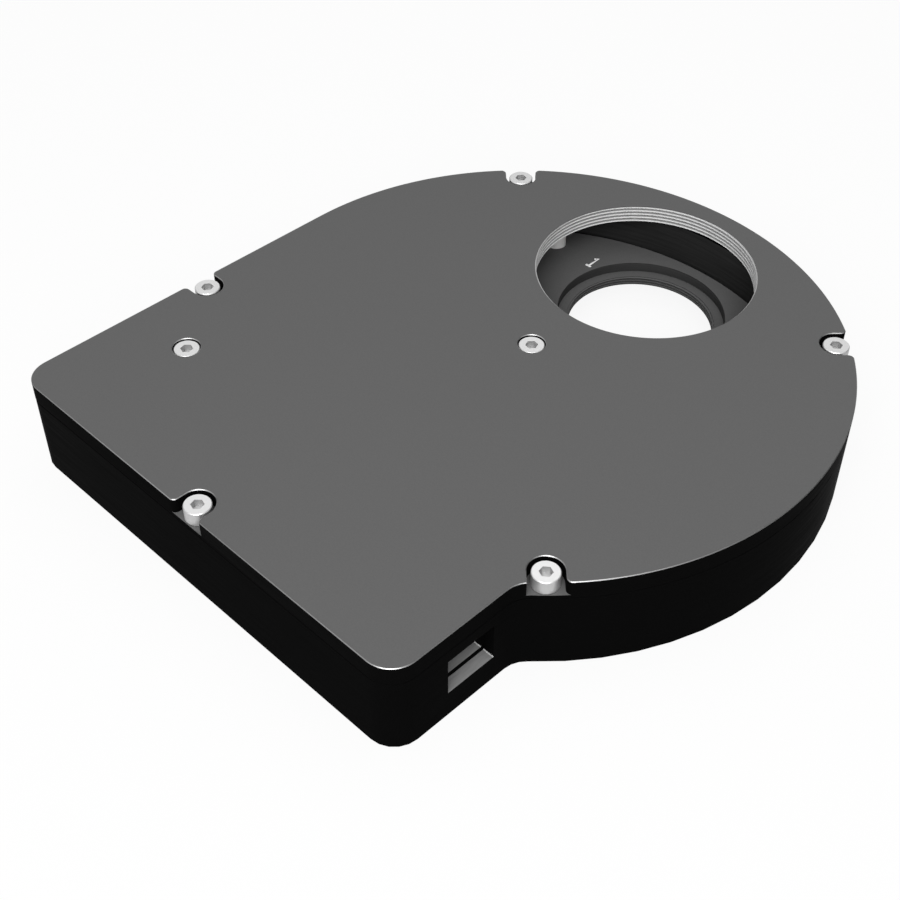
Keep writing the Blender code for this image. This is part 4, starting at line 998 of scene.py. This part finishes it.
def dress_base():
    """Finishes the base: black, with a lighter grey painted as light on its level faces, on the chamber's
    walls and on the floors at the USB opening.
    """
    base = NODES["base_housing"]
    paint_by_slope(base, FACE, WALL, WALL)
    smooth_solid(base)
    base.data.materials.append(RECESS)
    base.data.materials.append(CHAMBER)
    shell_low, shell_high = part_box("usb_shell")
    for face in base.data.polygons:
        x, y, z = base.matrix_world @ face.center
        level = face.normal.z >= LEVEL
        upright = abs(face.normal.z) < SLANT
        at_shell = x > shell_high.x and shell_low.y - USB_MARGIN < y < shell_high.y + USB_MARGIN
        if level and z > BASE_HIGH.z - FIT_GAP:
            face.material_index = UPRIGHT_FACE
        # Painted light: the floors at the USB opening get a lighter grey against their shade.
        elif level and at_shell:
            face.material_index = RECESSED_FACE
        # Painted light: the chamber's walls get a lighter grey than the outer walls.
        elif upright and z > FLOOR_TOP and math.hypot(x, y) < CHAMBER_RADIUS:
            face.material_index = CHAMBER_FACE


# Stage, light and camera
def stage():
    """A plain white floor with a faint shadow. The camera and mirrors see mostly its own light."""
    corners = ((-1, -1), (1, -1), (1, 1), (-1, 1))
    outline = [(FLOOR_HALF * x, FLOOR_HALF * y) for x, y in corners]
    floor = plate("floor", outline, -FLOOR_THICKNESS, BASE_LOW.z - FLOOR_GAP)
    made = bpy.data.materials.new("white_paper")
    made.use_nodes = True
    tree = made.node_tree
    tree.nodes.clear()
    paper = add(tree, "ShaderNodeBsdfDiffuse", {0: linear("#fbfbfb")})
    ray = add(tree, "ShaderNodeLightPath")
    level = remap(tree, ray.outputs["Is Camera Ray"], 0.0, 1.0, FLOOR_MIRRORED_GLOW, 1.0)
    glow = add(tree, "ShaderNodeEmission", {0: linear("#ffffff")}, Strength=level.outputs[0])
    seen = add(tree, "ShaderNodeMath", {"operation": "MAXIMUM"})
    tree.links.new(ray.outputs["Is Camera Ray"], seen.inputs[0])
    tree.links.new(ray.outputs["Is Glossy Ray"], seen.inputs[1])
    share = add(tree, "ShaderNodeMath", {"operation": "MULTIPLY", 1: FLOOR_GLOW_SHARE})
    tree.links.new(seen.outputs[0], share.inputs[0])
    mixed = add(tree, "ShaderNodeMixShader")
    tree.links.new(share.outputs[0], mixed.inputs[0])
    tree.links.new(paper.outputs[0], mixed.inputs[1])
    tree.links.new(glow.outputs[0], mixed.inputs[2])
    end = add(tree, "ShaderNodeOutputMaterial")
    tree.links.new(mixed.outputs[0], end.inputs["Surface"])
    floor.data.materials.append(made)


def sky():
    """White for the camera. Reflections see a bright ceiling that fades to the horizon and the right back."""
    world = bpy.data.worlds.new("studio")
    world.use_nodes = True
    bpy.context.scene.world = world
    tree = world.node_tree
    tree.nodes.clear()
    ray = add(tree, "ShaderNodeLightPath")
    way = add(tree, "ShaderNodeTexCoord").outputs["Generated"]
    toward = add(tree, "ShaderNodeVectorMath", {"operation": "DOT_PRODUCT", 1: BRIGHT_SIDE})
    tree.links.new(way, toward.inputs[0])
    side = remap(tree, toward.outputs["Value"], *SIDE_RANGE, DIM_SIDE_LEVEL, 1.0)
    parts = add(tree, "ShaderNodeSeparateXYZ", Vector=way)
    height = remap(tree, parts.outputs["Z"], *HEIGHT_RANGE, HORIZON_LEVEL, 1.0)
    ceiling = add(tree, "ShaderNodeMath", {"operation": "MULTIPLY"})
    tree.links.new(side.outputs[0], ceiling.inputs[0])
    tree.links.new(height.outputs[0], ceiling.inputs[1])
    mirrored = remap(tree, ray.outputs["Is Glossy Ray"], 0.0, 1.0, SKY_FILL, 1.0)
    tree.links.new(ceiling.outputs[0], mirrored.inputs[4])
    level = remap(tree, ray.outputs["Is Camera Ray"], 0.0, 1.0, 0.0, 1.0)
    tree.links.new(mirrored.outputs[0], level.inputs[3])
    light = add(tree, "ShaderNodeBackground", {0: linear("#ffffff")}, Strength=level.outputs[0])
    end = add(tree, "ShaderNodeOutputWorld")
    tree.links.new(light.outputs[0], end.inputs["Surface"])


def softbox(name, place, target, size, watts):
    """A square area light that looks at a point."""
    lamp = bpy.data.lights.new(name, "AREA")
    lamp.shape = "SQUARE"
    lamp.size = size
    lamp.energy = watts
    holder = bpy.data.objects.new(name, lamp)
    holder.location = place
    aim = Vector(target) - Vector(place)
    holder.rotation_euler = aim.to_track_quat("-Z", "Y").to_euler()
    bpy.context.scene.collection.objects.link(holder)


def lights():
    """A wide weak lamp overhead, and a smaller one on the camera's side that brightens the port's thread."""
    softbox("top_softbox", place=(0.0, 0.1, 0.9), target=(0.0, 0.0, 0.0), size=1.0, watts=2.2)
    beside = (0.36, -0.51, 0.52)
    softbox("camera_side_softbox", place=beside, target=(0.0, 0.0, 0.01), size=0.6, watts=5.1)


def camera():
    """The photograph's own viewpoint."""
    lens = bpy.data.cameras.new("camera")
    lens.lens = CAMERA_LENS
    lens.sensor_width = SENSOR_WIDTH
    lens.clip_start = 0.01
    lens.clip_end = 20.0
    view = bpy.data.objects.new("camera", lens)
    view.location = CAMERA_PLACE
    view.rotation_euler = [math.radians(angle) for angle in CAMERA_ANGLES]
    bpy.context.scene.collection.objects.link(view)
    bpy.context.scene.camera = view


bpy.context.scene.view_settings.view_transform = "Standard"
camera()
sky()
lights()
stage()
dress_solids()
dress_base()
cover_plate()
for screw_node in (*COVER_SCREWS, *SUNK_SCREWS):
    socket_screw(screw_node)
port_threads()
wheel_disc()
seat_threads()
wheel_numbers()
index_pins()
usb_contacts()
floor_fillets()
